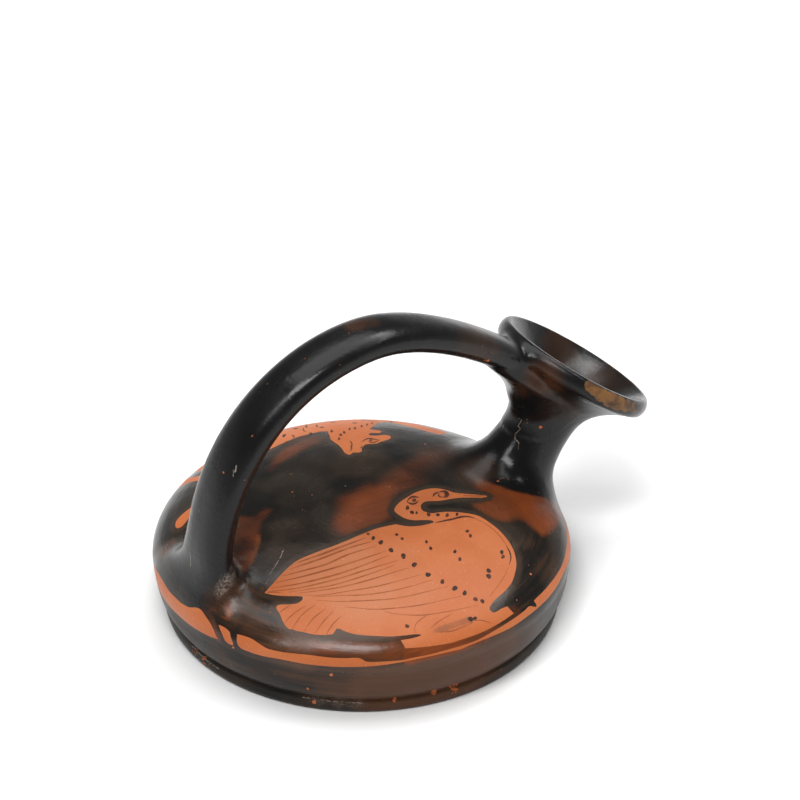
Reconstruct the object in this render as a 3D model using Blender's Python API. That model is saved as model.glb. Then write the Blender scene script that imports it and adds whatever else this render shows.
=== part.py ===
"""A red-figure askos: a low round oil flask with a slanting trumpet spout and an arched strap handle.

It is one piece of fired clay. The body and the spout were turned on a wheel, the handle was pulled and
pressed on, and the inside is hollow and opens through the spout. +Z is up, +X points to the spout, and
the origin is the centre of the flat underside, on the axis that the body was turned on.
"""

from math import cos, pi, radians, sin

import bmesh
import bpy
from mathutils import Matrix, Vector
from mathutils.bvhtree import BVHTree
from mathutils.geometry import interpolate_bezier

MM = 0.001

# Body: a flat dome over a short wall that leans out from a low foot
BODY_RADIUS = 50.0 * MM
SHOULDER_HEIGHT = 13.8 * MM
DOME_RISE = 13.8 * MM
DOME_FULLNESS = 2.15
SHOULDER_ROUND = 2.2 * MM
WALL_LEAN = 2.2 * MM
WALL_BASE_RADIUS = BODY_RADIUS - WALL_LEAN
WALL_BASE_HEIGHT = 4.7 * MM
WALL_BULGE = 0.4 * MM

# Foot: a low rounded disc under a turned groove, with a shallow groove scraped into its underside
FOOT_INSET = 2.6 * MM
FOOT_RADIUS = BODY_RADIUS - FOOT_INSET
FOOT_HEIGHT = 3.4 * MM
FOOT_ROUND = 1.1 * MM
GROOVE_DEPTH = 1.2 * MM
RESTING_RING_WIDTH = 6.0 * MM
UNDERSIDE_GROOVE_WIDTH = 2.4 * MM
UNDERSIDE_GROOVE_DEPTH = 0.7 * MM

# Inside: the body's wall and floor, and the corner between them
BODY_WALL = 3.0 * MM
FLOOR_THICKNESS = 3.6 * MM
INNER_CORNER_RADIUS = 4.0 * MM

# Spout: turned about its own axis, which leans out from a point under the dome's surface
SPOUT_INSET = 9.4 * MM
SPOUT_SEAT = 4.2 * MM
SPOUT_TILT = radians(37.0)
SPOUT_LENGTH = 35.0 * MM
SPOUT_BURIED = 6.0 * MM
SPOUT_BASE_RADIUS = 11.6 * MM
SPOUT_BASE_FLARE = 1.8
NECK_RADIUS = 8.1 * MM
NECK_PLACE = 15.0 * MM
LIP_RADIUS = 20.4 * MM
LIP_DEPTH = 4.6 * MM
LIP_UNDERCUT = 1.4 * MM
LIP_CREST_INSET = 1.4 * MM
LIP_CREST_WIDTH = 0.5 * MM
LIP_FLARE = 3.2
BORE_RADIUS = 5.4 * MM
MOUTH_FLARE = 2.2
MOUTH_CLEARANCE = 3.0 * MM

# Handle: a strap that rises from the shoulder, arches over the dome and is pressed onto the spout
HANDLE_ROOT_INSET = 7.7 * MM
HANDLE_ROOT_RISE = 2.2 * MM
HANDLE_ROOT_LEAN = -3.0 * MM
HANDLE_ROOT_PULL = 39.0 * MM
HANDLE_APEX_X = 1.3 * MM
HANDLE_APEX_Z = 73.3 * MM
HANDLE_APEX_PULL_BACK = 22.6 * MM
HANDLE_APEX_PULL_FRONT = 16.0 * MM
HANDLE_END_UNDER_LIP = 2.4 * MM
HANDLE_END_DEPTH = 4.5 * MM
HANDLE_END_PULL = 14.0 * MM
HANDLE_END_DROP = radians(48.0)
HANDLE_ROOT_THICKNESS = 7.8 * MM
HANDLE_MIDDLE_THICKNESS = 7.6 * MM
HANDLE_END_THICKNESS = 7.4 * MM
HANDLE_ROOT_WIDTH = 15.2 * MM
HANDLE_MIDDLE_WIDTH = 14.0 * MM
HANDLE_END_WIDTH = 10.8 * MM
HANDLE_SQUARENESS = 2.4
ROOT_FLARE_FAR = 8.0 * MM
ROOT_FLARE_NEAR = 3.0 * MM
ROOT_FLARE_SHARE = 0.15
END_WEB = 2.5 * MM
END_WEB_SHARE = 0.15

# Joins: how far the clay was smoothed out from where two parts meet
ROOT_BLEND = 7.0 * MM
SPOUT_BLEND = 6.0 * MM
UNDER_BLEND = 12.0 * MM
LIP_BLEND = 3.0 * MM
LIP_BLEND_DEPTH = 5.5 * MM
BLEND_CHANGE = 4.5 * MM
BURIED = 1.2 * MM

# Facets
BODY_SIDES = 56
CAVITY_SIDES = 40
SPOUT_SIDES = 32
DOME_STEPS = 11
CORNER_STEPS = 3
SPOUT_STEPS = 8
LIP_STEPS = 5
HANDLE_STEPS = 26
HANDLE_SIDES = 16
WELD = 0.01 * MM
JOIN_FACET = 2.8 * MM
JOIN_MERGE = 0.5 * MM
JOIN_EDGE = 0.05 * MM
JOIN_PASSES = 2
JOIN_MOVES = 5

# Finish
GLAZE_COLOUR = (0.022, 0.019, 0.017, 1.0)
GLAZE_ROUGHNESS = 0.32


def clear_scene():
    for obj in list(bpy.data.objects):
        bpy.data.objects.remove(obj, do_unlink=True)


def glaze_material():
    """Near-black fired slip."""
    material = bpy.data.materials.new("black_glaze")
    material.use_nodes = True
    shader = material.node_tree.nodes["Principled BSDF"]
    shader.inputs["Base Color"].default_value = GLAZE_COLOUR
    shader.inputs["Roughness"].default_value = GLAZE_ROUGHNESS
    shader.inputs["Metallic"].default_value = 0.0
    material.diffuse_color = GLAZE_COLOUR
    return material


def new_object(name, points, edges, faces):
    mesh = bpy.data.meshes.new(name)
    mesh.from_pydata(points, edges, faces)
    mesh.update()
    obj = bpy.data.objects.new(name, mesh)
    bpy.context.scene.collection.objects.link(obj)
    return obj


def turned(name, profile, sides):
    """A solid turned about Z. The profile is (radius, height) pairs from the top pole to the bottom pole."""
    points = [(radius, 0.0, height) for radius, height in profile]
    edges = [(i, i + 1) for i in range(len(points) - 1)]
    obj = new_object(name, points, edges, [])
    screw = obj.modifiers.new("turning", "SCREW")
    screw.axis = "Z"
    screw.angle = 2 * pi
    screw.steps = screw.render_steps = sides
    screw.use_merge_vertices = True
    screw.merge_threshold = WELD
    screw.use_smooth_shade = True
    return obj


def lofted(name, rings):
    """A closed solid through rings of points, capped at both ends."""
    count = len(rings[0])
    points = [point for ring in rings for point in ring]
    faces = []
    for i in range(len(rings) - 1):
        for j in range(count):
            k = (j + 1) % count
            faces.append((i * count + j, (i + 1) * count + j, (i + 1) * count + k, i * count + k))
    last = (len(rings) - 1) * count
    faces.append(tuple(range(count)))
    faces.append(tuple(reversed(range(last, last + count))))
    return new_object(name, points, [], faces)


def as_tool(obj):
    """Marks an object as a helper of the vessel's Booleans, which isn't part of the model itself."""
    obj.hide_render = True
    obj.display_type = "WIRE"
    return obj


def combine(obj, tool, operation):
    boolean = obj.modifiers.new(f"{operation.lower()} {tool.name}", "BOOLEAN")
    boolean.operation = operation
    boolean.solver = "EXACT"
    boolean.object = tool


def dome_points(radius, rise, steps):
    """From the apex out to the widest circle of the dome, without that circle's own point."""
    points = []
    for i in range(steps):
        angle = pi / 2 * (1 - i / steps)
        along = cos(angle) ** (2 / DOME_FULLNESS) if i else 0.0
        points.append((radius * along, SHOULDER_HEIGHT + rise * sin(angle) ** (2 / DOME_FULLNESS)))
    return points


def dome_height(radius):
    """The dome's outer height at a distance from the turning axis."""
    share = min(radius / BODY_RADIUS, 1.0)
    return SHOULDER_HEIGHT + DOME_RISE * (1 - share**DOME_FULLNESS) ** (1 / DOME_FULLNESS)


def body_profile():
    """Apex, dome, rounded shoulder, leaning wall, groove, foot and grooved underside."""
    shoulder_foot = SHOULDER_HEIGHT - SHOULDER_ROUND
    middle_height = (shoulder_foot + WALL_BASE_HEIGHT) / 2
    middle_radius = (BODY_RADIUS + WALL_BASE_RADIUS) / 2 + WALL_BULGE
    neck_of_foot = WALL_BASE_RADIUS - GROOVE_DEPTH
    ring_inside = FOOT_RADIUS - FOOT_ROUND - RESTING_RING_WIDTH
    return dome_points(BODY_RADIUS, DOME_RISE, DOME_STEPS) + [
        (BODY_RADIUS, SHOULDER_HEIGHT),
        (BODY_RADIUS - 0.1 * SHOULDER_ROUND, shoulder_foot),
        (middle_radius, middle_height),
        (WALL_BASE_RADIUS, WALL_BASE_HEIGHT),
        (neck_of_foot, WALL_BASE_HEIGHT - 0.4 * GROOVE_DEPTH),
        (neck_of_foot, FOOT_HEIGHT),
        (FOOT_RADIUS - 0.2 * FOOT_ROUND, FOOT_HEIGHT - 0.6 * FOOT_ROUND),
        (FOOT_RADIUS, FOOT_ROUND),
        (FOOT_RADIUS - FOOT_ROUND, 0.0),
        (ring_inside, 0.0),
        (ring_inside - 0.5 * UNDERSIDE_GROOVE_WIDTH, UNDERSIDE_GROOVE_DEPTH),
        (ring_inside - UNDERSIDE_GROOVE_WIDTH, 0.0),
        (0.0, 0.0),
    ]


def cavity_profile():
    """The inside of the body: the dome and the wall less their thickness, down to the floor."""
    inner_radius = WALL_BASE_RADIUS - BODY_WALL
    points = dome_points(BODY_RADIUS - BODY_WALL, DOME_RISE - BODY_WALL, DOME_STEPS)
    points.append((BODY_RADIUS - BODY_WALL, SHOULDER_HEIGHT))
    for i in range(CORNER_STEPS + 1):
        angle = pi / 2 * i / CORNER_STEPS
        radius = inner_radius - INNER_CORNER_RADIUS * (1 - cos(angle))
        points.append((radius, FLOOR_THICKNESS + INNER_CORNER_RADIUS * (1 - sin(angle))))
    points.append((0.0, FLOOR_THICKNESS))
    return points


def spout_radius(along):
    """The spout's outer radius at a distance along its axis, from the dome up to under the lip."""
    if along < NECK_PLACE:
        share = (NECK_PLACE - along) / NECK_PLACE
        return NECK_RADIUS + (SPOUT_BASE_RADIUS - NECK_RADIUS) * share**SPOUT_BASE_FLARE
    share = (along - NECK_PLACE) / (SPOUT_LENGTH - LIP_DEPTH - NECK_PLACE)
    return NECK_RADIUS + (LIP_RADIUS - LIP_UNDERCUT - NECK_RADIUS) * share**LIP_FLARE


def mouth_radius(along):
    """The inner radius of the bore and, above the neck, of the mouth."""
    share = max(along - NECK_PLACE, 0.0) / (SPOUT_LENGTH - NECK_PLACE)
    crest = LIP_RADIUS - LIP_CREST_INSET - LIP_CREST_WIDTH
    return BORE_RADIUS + (crest - BORE_RADIUS) * share**MOUTH_FLARE


def spout_profile():
    """The spout as a solid, from its top down: crest, round lip, flared neck and base."""
    half_depth = LIP_DEPTH / 2
    points = [(0.0, SPOUT_LENGTH), (LIP_RADIUS - LIP_CREST_INSET, SPOUT_LENGTH)]
    for i in range(1, LIP_STEPS):
        angle = pi * i / LIP_STEPS
        inset = LIP_CREST_INSET if angle < pi / 2 else LIP_UNDERCUT
        radius = LIP_RADIUS - inset * (1 - sin(angle))
        points.append((radius, SPOUT_LENGTH - half_depth * (1 - cos(angle))))
    top = SPOUT_LENGTH - LIP_DEPTH
    for i in range(SPOUT_STEPS + 1):
        along = top + (NECK_PLACE - top) * i / SPOUT_STEPS
        points.append((spout_radius(along), along))
    for i in range(1, SPOUT_STEPS + 1):
        along = NECK_PLACE * (1 - i / SPOUT_STEPS)
        points.append((spout_radius(along), along))
    points.append((SPOUT_BASE_RADIUS - SPOUT_BURIED / 2, -SPOUT_BURIED))
    points.append((0.0, -SPOUT_BURIED))
    return points


def mouth_profile():
    """The cutter for the mouth and the bore, which ends inside the body's hollow."""
    top = SPOUT_LENGTH + MOUTH_CLEARANCE
    points = [(0.0, top)]
    for i in range(SPOUT_STEPS + 1):
        along = top + (NECK_PLACE - top) * i / SPOUT_STEPS
        points.append((mouth_radius(along), along))
    points.append((BORE_RADIUS, -SPOUT_BURIED))
    points.append((0.0, -SPOUT_BURIED))
    return points


def spout_frame():
    """Places the spout: its own Z runs out along its axis."""
    place = BODY_RADIUS - SPOUT_INSET
    seat = Vector((place, 0.0, dome_height(place) - SPOUT_SEAT))
    return Matrix.Translation(seat) @ Matrix.Rotation(SPOUT_TILT, 4, "Y")


def handle_centres():
    """The handle's centreline, from inside the shoulder over the apex and into the spout."""
    root = Vector((HANDLE_ROOT_INSET - BODY_RADIUS, 0.0, SHOULDER_HEIGHT + HANDLE_ROOT_RISE))
    root_pull = root + Vector((HANDLE_ROOT_LEAN, 0.0, HANDLE_ROOT_PULL))
    apex = Vector((HANDLE_APEX_X, 0.0, HANDLE_APEX_Z))
    place = SPOUT_LENGTH - LIP_DEPTH - HANDLE_END_UNDER_LIP
    inset = spout_radius(place) - HANDLE_END_DEPTH
    end = spout_frame() @ Vector((-inset, 0.0, place))
    end_pull = end - HANDLE_END_PULL * Vector((cos(HANDLE_END_DROP), 0.0, -sin(HANDLE_END_DROP)))
    half = HANDLE_STEPS // 2 + 1
    back = interpolate_bezier(root, root_pull, apex - Vector((HANDLE_APEX_PULL_BACK, 0, 0)), apex, half)
    front = interpolate_bezier(apex, apex + Vector((HANDLE_APEX_PULL_FRONT, 0, 0)), end_pull, end, half)
    return back + front[1:]


def eased(share):
    return share * share * (3 - 2 * share)


def between(share, root, middle, end):
    """A size that passes from its root value through its middle value to its end value."""
    if share < 0.5:
        return root + (middle - root) * eased(2 * share)
    return middle + (end - middle) * eased(2 * share - 1)


def handle_ring(centre, tangent, share):
    """One section of the handle: a squarish oval, flared at the root and webbed at the spout."""
    across = Vector((-tangent.z, 0.0, tangent.x))
    root_flare = max(1 - share / ROOT_FLARE_SHARE, 0.0) ** 2
    end_web = END_WEB * max((share - 1) / END_WEB_SHARE + 1, 0.0) ** 2
    thickness = between(share, HANDLE_ROOT_THICKNESS, HANDLE_MIDDLE_THICKNESS, HANDLE_END_THICKNESS)
    width = between(share, HANDLE_ROOT_WIDTH, HANDLE_MIDDLE_WIDTH, HANDLE_END_WIDTH)
    ring = []
    for i in range(HANDLE_SIDES):
        angle = 2 * pi * i / HANDLE_SIDES
        out = abs(cos(angle)) ** (2 / HANDLE_SQUARENESS) * (1 if cos(angle) > 0 else -1)
        side = abs(sin(angle)) ** (2 / HANDLE_SQUARENESS) * (1 if sin(angle) > 0 else -1)
        depth = thickness / 2 * out + end_web * min(out, 0.0)
        flare = root_flare * (ROOT_FLARE_FAR if side > 0 else ROOT_FLARE_NEAR)
        ring.append(centre + across * depth + Vector((0.0, (width / 2 + flare) * side, 0.0)))
    return ring


def handle():
    centres = handle_centres()
    lengths = [0.0]
    for before, after in zip(centres, centres[1:]):
        lengths.append(lengths[-1] + (after - before).length)
    rings = []
    for i, centre in enumerate(centres):
        tangent = (centres[min(i + 1, len(centres) - 1)] - centres[max(i - 1, 0)]).normalized()
        rings.append(handle_ring(centre, tangent, lengths[i] / lengths[-1]))
    return lofted("handle_solid", rings)


def surface_tree(obj):
    """A search tree over an object's evaluated surface, in world space."""
    graph = bpy.context.evaluated_depsgraph_get()
    mesh = bmesh.new()
    mesh.from_object(obj, graph)
    mesh.transform(obj.matrix_world)
    tree = BVHTree.FromBMesh(mesh)
    mesh.free()
    return tree


def distance_to(tree, point):
    """How far a point is outside a surface, and the way that grows. It can be inside by BURIED at most."""
    place, normal, _, distance = tree.find_nearest(point)
    offset = point - place
    if distance < WELD:
        return offset.dot(normal), normal
    side = -1 if offset.dot(normal) < 0 and distance < BURIED else 1
    return side * distance, offset * (side / distance)


def blended(first, second, reach):
    """Two distances joined as one surface that is rounded where they are nearly equal."""
    (near, near_way), (far, far_way) = sorted((first, second), key=lambda pair: pair[0])
    share = max(1 - (far - near) / reach, 0.0)
    return near - share * share * reach / 4, near_way.lerp(far_way, share / 2)


def neighbours(vert):
    return {edge.other_vert(vert) for edge in vert.link_edges}


def merge_short_edges(mesh, verts):
    """Merges the ends of each short edge between these points, where the surface stays closed."""
    for edge in {edge for vert in verts for edge in vert.link_edges}:
        if not edge.is_valid or edge.calc_length() > JOIN_MERGE:
            continue
        first, second = edge.verts
        if len(neighbours(first) & neighbours(second)) == 2:
            middle = (first.co + second.co) / 2
            bmesh.ops.pointmerge(mesh, verts=[first, second], merge_co=middle)


def smooth_joins(mesh, body, spout, strap):
    """Splits the long edges near each join, then spreads its points over a rounded surface."""

    def surface_at(point):
        to_body, to_strap, to_spout = (distance_to(tree, point) for tree in (body, strap, spout))
        reach = SPOUT_BLEND
        if to_strap[0] < to_body[0]:
            below_lip = SPOUT_LENGTH - (point - seat).dot(axis) - LIP_BLEND_DEPTH
            share = eased(min(max(1 - below_lip / BLEND_CHANGE, 0.0), 1.0))
            reach = UNDER_BLEND + (LIP_BLEND - UNDER_BLEND) * share
        return blended(blended(to_body, to_strap, ROOT_BLEND), to_spout, reach)

    def in_joins():
        return {vert for vert in mesh.verts if surface_at(vert.co)[0] < -JOIN_EDGE}

    def settle(verts):
        for vert in verts:
            depth, way = surface_at(vert.co)
            vert.co -= way * depth / max(way.length_squared, 0.05)

    seat = spout_frame().translation
    axis = spout_frame().col[2].to_3d()
    bmesh.ops.triangulate(mesh, faces=mesh.faces)
    merge_short_edges(mesh, in_joins())
    for _ in range(JOIN_PASSES):
        near = in_joins()
        long_edges = [
            edge
            for edge in mesh.edges
            if near.intersection(edge.verts) and edge.calc_length() > JOIN_FACET
        ]
        bmesh.ops.subdivide_edges(mesh, edges=long_edges, cuts=1)
        bmesh.ops.triangulate(mesh, faces=mesh.faces)
    merge_short_edges(mesh, in_joins())
    near = list(in_joins())
    faces = list({face for vert in near for face in vert.link_faces})
    for _ in range(JOIN_MOVES):
        settle(near)
        edges = list({edge for face in faces for edge in face.edges})
        bmesh.ops.beautify_fill(mesh, faces=faces, edges=edges, method="AREA")
        faces = list({face for vert in near for face in vert.link_faces})
        bmesh.ops.smooth_vert(mesh, verts=near, factor=0.5, use_axis_x=True, use_axis_y=True, use_axis_z=True)
    settle(near)


def vessel():
    """The whole flask: body, spout and handle in one, less the hollow inside."""
    body = turned("vessel", body_profile(), BODY_SIDES)
    spout = as_tool(turned("spout_solid", spout_profile(), SPOUT_SIDES))
    spout.matrix_world = spout_frame()
    mouth = as_tool(turned("mouth_cutter", mouth_profile(), SPOUT_SIDES))
    mouth.matrix_world = spout_frame() @ Matrix.Rotation(pi / SPOUT_SIDES, 4, "Z")
    cavity = as_tool(turned("cavity_cutter", cavity_profile(), CAVITY_SIDES))
    strap = as_tool(handle())
    bpy.context.view_layer.update()
    trees = [surface_tree(obj) for obj in (body, spout, strap)]

    combine(body, spout, "UNION")
    combine(body, strap, "UNION")
    mesh = bmesh.new()
    mesh.from_object(body, bpy.context.evaluated_depsgraph_get())
    smooth_joins(mesh, *trees)
    body.modifiers.clear()
    mesh.to_mesh(body.data)
    mesh.free()

    combine(body, cavity, "DIFFERENCE")
    combine(body, mouth, "DIFFERENCE")
    body.data.materials.append(glaze_material())
    body.data.shade_smooth()
    return body


clear_scene()
vessel()
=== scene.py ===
"""The looks of a red-figure askos: its smooth surface, the painting in black slip, its firing and its wear.

Lengths are millimetres until a mesh is made, where MM turns them into the scene's metres. The painting is
laid out on "paper": the body's skin unrolled around its apex, where the distance from the centre is the
length along the body's profile and the direction is the azimuth around its turning axis. Outlines that the
photograph shows are given in its pixels and are cast from the camera onto the body. What it doesn't show is
given on the paper, as azimuth in degrees and length along the profile.
"""
from math import atan2, ceil, cos, pi, radians, sin

import bmesh
import bpy
import numpy as np
from mathutils import Matrix, Vector
from mathutils.bvhtree import BVHTree
from mathutils.geometry import delaunay_2d_cdt, interpolate_bezier
from mathutils.kdtree import KDTree


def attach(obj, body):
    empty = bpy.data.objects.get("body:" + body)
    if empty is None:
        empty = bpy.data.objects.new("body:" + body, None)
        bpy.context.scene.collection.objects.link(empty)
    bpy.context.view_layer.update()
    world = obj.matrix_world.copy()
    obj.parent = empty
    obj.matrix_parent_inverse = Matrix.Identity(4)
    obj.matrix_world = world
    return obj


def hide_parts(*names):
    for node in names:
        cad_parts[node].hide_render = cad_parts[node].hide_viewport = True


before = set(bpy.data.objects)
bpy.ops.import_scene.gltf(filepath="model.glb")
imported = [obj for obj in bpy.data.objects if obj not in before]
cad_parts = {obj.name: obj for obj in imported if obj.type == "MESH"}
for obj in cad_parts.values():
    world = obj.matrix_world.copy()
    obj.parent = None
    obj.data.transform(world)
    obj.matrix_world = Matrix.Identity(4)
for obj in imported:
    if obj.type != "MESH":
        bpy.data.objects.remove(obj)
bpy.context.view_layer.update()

MM = 0.001

# The photograph's view: its size, the scale at the aim point, and the pixel where that point lies
PHOTO_SIDE = 800
VIEW_AZIMUTH = radians(-32.6)
VIEW_ELEVATION = radians(34.1)
VIEW_DISTANCE = 1500.0
PIXELS_PER_MM = 4.19
AIM = Vector((0.0, 0.0, 20.0))
AIM_PIXEL = (361.5, 526.9)
SENSOR = 36.0

# Body, as in the solid
BODY_RADIUS = 50.0
SHOULDER_HEIGHT = 13.8
DOME_RISE = 13.8
DOME_FULLNESS = 2.15
WALL = [(50.0, 13.8), (49.75, 11.5), (49.3, 8.6), (48.6, 6.2), (47.7, 4.7)]
GROOVE = [(47.7, 4.7), (46.85, 4.3), (46.6, 3.9), (46.75, 3.45)]
FOOT = [(46.75, 3.45), (47.15, 2.9), (47.4, 2.0), (47.3, 1.0), (46.9, 0.3), (46.3, 0.0)]
UNDERSIDE = [
    (43.0, 0.0), (40.3, 0.0), (39.7, 0.45), (39.1, 0.7), (38.5, 0.45), (37.9, 0.0), (30.0, 0.0), (20.0, 0.0),
    (10.0, 0.0), (3.0, 0.0),
]
BODY_WALL = 3.0
FLOOR_THICKNESS = 3.6
INNER_CORNER_RADIUS = 4.0

# Spout, as in the solid
SPOUT_INSET = 9.4
SPOUT_SEAT = 4.2
SPOUT_TILT = radians(37.0)
SPOUT_LENGTH = 35.0
SPOUT_BURIED = 6.0
SPOUT_BASE_RADIUS = 11.6
SPOUT_BASE_FLARE = 1.8
NECK_RADIUS = 8.1
NECK_PLACE = 15.0
LIP_RADIUS = 20.4
LIP_DEPTH = 4.6
LIP_UNDERCUT = 1.4
LIP_CREST_INSET = 1.4
LIP_CREST_WIDTH = 0.5
LIP_FLARE = 3.2
BORE_RADIUS = 5.4
MOUTH_FLARE = 2.2
MOUTH_CLEARANCE = 3.0

# Handle, as in the solid
HANDLE_ROOT_INSET = 7.7
HANDLE_ROOT_RISE = 2.2
HANDLE_ROOT_LEAN = -3.0
HANDLE_ROOT_PULL = 39.0
HANDLE_APEX = Vector((1.3, 0.0, 73.3))
HANDLE_APEX_PULL_BACK = 22.6
HANDLE_APEX_PULL_FRONT = 16.0
HANDLE_END_UNDER_LIP = 2.4
HANDLE_END_DEPTH = 4.5
HANDLE_END_PULL = 14.0
HANDLE_END_DROP = radians(48.0)
HANDLE_THICKNESS = (7.8, 7.6, 7.4)
HANDLE_WIDTH = (15.2, 14.0, 10.8)
HANDLE_SQUARENESS = 2.4
ROOT_FLARE_FAR = 8.0
ROOT_FLARE_NEAR = 3.0
ROOT_FLARE_SHARE = 0.15
END_WEB = 2.5
END_WEB_SHARE = 0.15

# Joins: how far each rounds, where they lie, and how their points are moved and merged
ROOT_BLEND = 7.0
SPOUT_BLEND = 6.0
UNDER_BLEND = 12.0
LIP_BLEND = 3.0
END_BLEND_FROM = 25.0
END_BLEND_TO = 29.5
JOIN_EDGE = 0.03
JOIN_MERGE = 0.15
JOIN_MOVES = 6
JOIN_PASSES = 3
JOIN_SMOOTHING = 0.5
FAR = 12.0
BURIED = 1.2
JOIN_STEP = 0.8
JOIN_FREE = (-28.0, 24.0)
SKIRT_TOP = 9.0

# How finely everything is cut into faces: the profile, the paper, lines on it, and the rings of each solid
DOME_STEPS = 240
PROFILE_STEP = 0.1
GRAIN = 0.85
EDGE_GRAIN = 0.5
EDGE_GRAIN_FROM = 44.0
RING_SPACING = 0.87
OUTLINE_STEP = 0.4
MISFIRE_STEP = 0.3
PAPER_STEP = 0.9
PIXEL_STEP = 2.6
CLEAR_OF_OUTLINE = 0.22
CUT_TOLERANCE = 0.01
SKIRT_START = 59.5
WALL_STEP = 0.6
FOOT_STEP = 0.22
SPOUT_SIDES = 144
SPOUT_RINGS = 44
LIP_RINGS = 12
HANDLE_RINGS = 130
HANDLE_SIDES = 48
CAVITY_SIDES = 48
CAVITY_DOME_STEPS = 16
CAVITY_CORNER_STEPS = 6
CAVITY_INSET = 0.1
SHARP_ANGLE = radians(45)

# How far before and behind the aim point the body is looked for along a line of sight
SIGHT_REACH = 90.0
SIGHT_STEPS = 3601

# The paints, which are also the material slots of the vessel
GLAZE, CLAY, DILUTE, RELIEF = range(4)
PAINT_NAMES = ("black_glaze", "reserved_clay", "dilute_line", "relief_line")

# Strokes: how far one thins at its ends, the sides of a dab, the widths used on the hidden side, and how far
# from the apex the figures are edged with a stripe
BRUSH_TIP = 0.35
DAB_SIDES = 10
HIDDEN_LINE = 0.42
HIDDEN_SPOT = 0.6
STRIPE_REACH = 46.0

# Where marks fade in: each pair runs from none of a mark to all of it
STRIPE_EDGE = (2.0, 1.0)
NECK_SIDE = (14.3, 13.5)
NECK_RISE = (9.0, 10.0)
BODY_SKIN = (2.6, 1.2)
FOOT_EDGE_RADIUS = (46.0, 46.9)
FOOT_EDGE_HEIGHT = (4.6, 2.6)
LIP_EDGE = (SPOUT_LENGTH - 1.6, SPOUT_LENGTH - 0.2)
OCHRE_RISE = (29.6, 30.2)
FOOT_WEAR = 0.4
LIP_WEAR = 0.24

# Where the slip's look changes: outwards over the body, along X from the handle's side over the wing to the
# neck, and upwards past the shoulder
OUTER_BODY = (30.0, 42.0)
HANDLE_TO_WING = (-28.0, -22.0)
WING_TO_NECK = (12.0, 18.0)
SHOULDER_FADE = (12.0, 15.0)

# Brushed streaks as the pixels of both ends of a stroke, then the width and length of a streak
WING_BRUSH = ((301, 559), (396, 524), 0.9, 9.0)
# The streaks at the handle's root are a painted highlight over scuffing
SCUFF_AND_HIGHLIGHT_BRUSH = ((222, 592), (246, 556), 0.35, 5.0)
NECK_BRUSH = ((494, 480), (540, 533), 0.8, 9.0)

# Studio: the floor's half side in metres and its looks, the light round the horizon and above it with the
# heights between which it fades, then lights as name, azimuth, elevation, distance, width, depth and power
FLOOR = 6.0
FLOOR_WHITE = 0.95
FLOOR_ROUGHNESS = 0.9
FLOOR_SHINE = 0.1
HORIZON_LIGHT = 0.6
SKY_LIGHT = 0.12
SKY_FADE = (0.05, 0.45)
LIGHTS = [
    ("key", -50, 64, 3.0, 1.5, 0.55, 42),
    ("side", -78, 50, 3.0, 0.4, 0.45, 9),
    ("rim", 72, 55, 3.0, 1.5, 0.3, 15),
    ("rear", 108, 57, 3.0, 0.8, 0.65, 20),
    ("top", 175, 76, 3.0, 2.6, 2.6, 62),
]

# Colours, roughness and shine
CLAY_ORANGE = (0.445, 0.118, 0.033, 1)
CLAY_PALE = (0.475, 0.136, 0.043, 1)
# The next colour is painted sheen: the bird's clay made paler where light glances off the wing
CLAY_PAINTED_SHEEN = (0.47, 0.165, 0.071, 1)
CLAY_DARK = (0.30, 0.07, 0.025, 1)
CLAY_LIGHT = (0.78, 0.42, 0.24, 1)
WASH_BROWN = (0.28, 0.085, 0.028, 1)
LINE_BROWN = (0.25, 0.066, 0.022, 1)
LINE_DARK = (0.036, 0.016, 0.010, 1)
GLAZE_BLACK = (0.007, 0.007, 0.007, 1)
GLAZE_BROWN = (0.026, 0.018, 0.011, 1)
GLAZE_WARM = (0.085, 0.034, 0.015, 1)
GLAZE_CONTOUR = (0.055, 0.034, 0.022, 1)
GLAZE_RED = (0.23, 0.052, 0.013, 1)
GLAZE_RED_DARK = (0.13, 0.033, 0.010, 1)
GLAZE_THIN = (0.22, 0.060, 0.017, 1)
OCHRE = (0.19, 0.088, 0.028, 1)
OCHRE_DARK = (0.06, 0.03, 0.014, 1)
# A pale for scratches and scuffs, and for the painted highlight at the handle's root
PALE_SCRATCH_AND_HIGHLIGHT = (0.36, 0.30, 0.25, 1)
CLAY_ROUGHNESS = 0.46
CLAY_SHINE = 0.25
LINE_ROUGHNESS = 0.5
LINE_SHINE = 0.15
GLAZE_ROUGHNESS = (0.18, 0.31)
GLAZE_SHINE = 0.24
GLAZE_SHINE_ON_BODY = 0.08

# How finely and how far, in millimetres, the edges of chips and the lines of scratches wander
CHIP_WOBBLE = (0.9, 1.1)
SCRATCH_WOBBLE = (1.5, 0.5)
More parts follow.
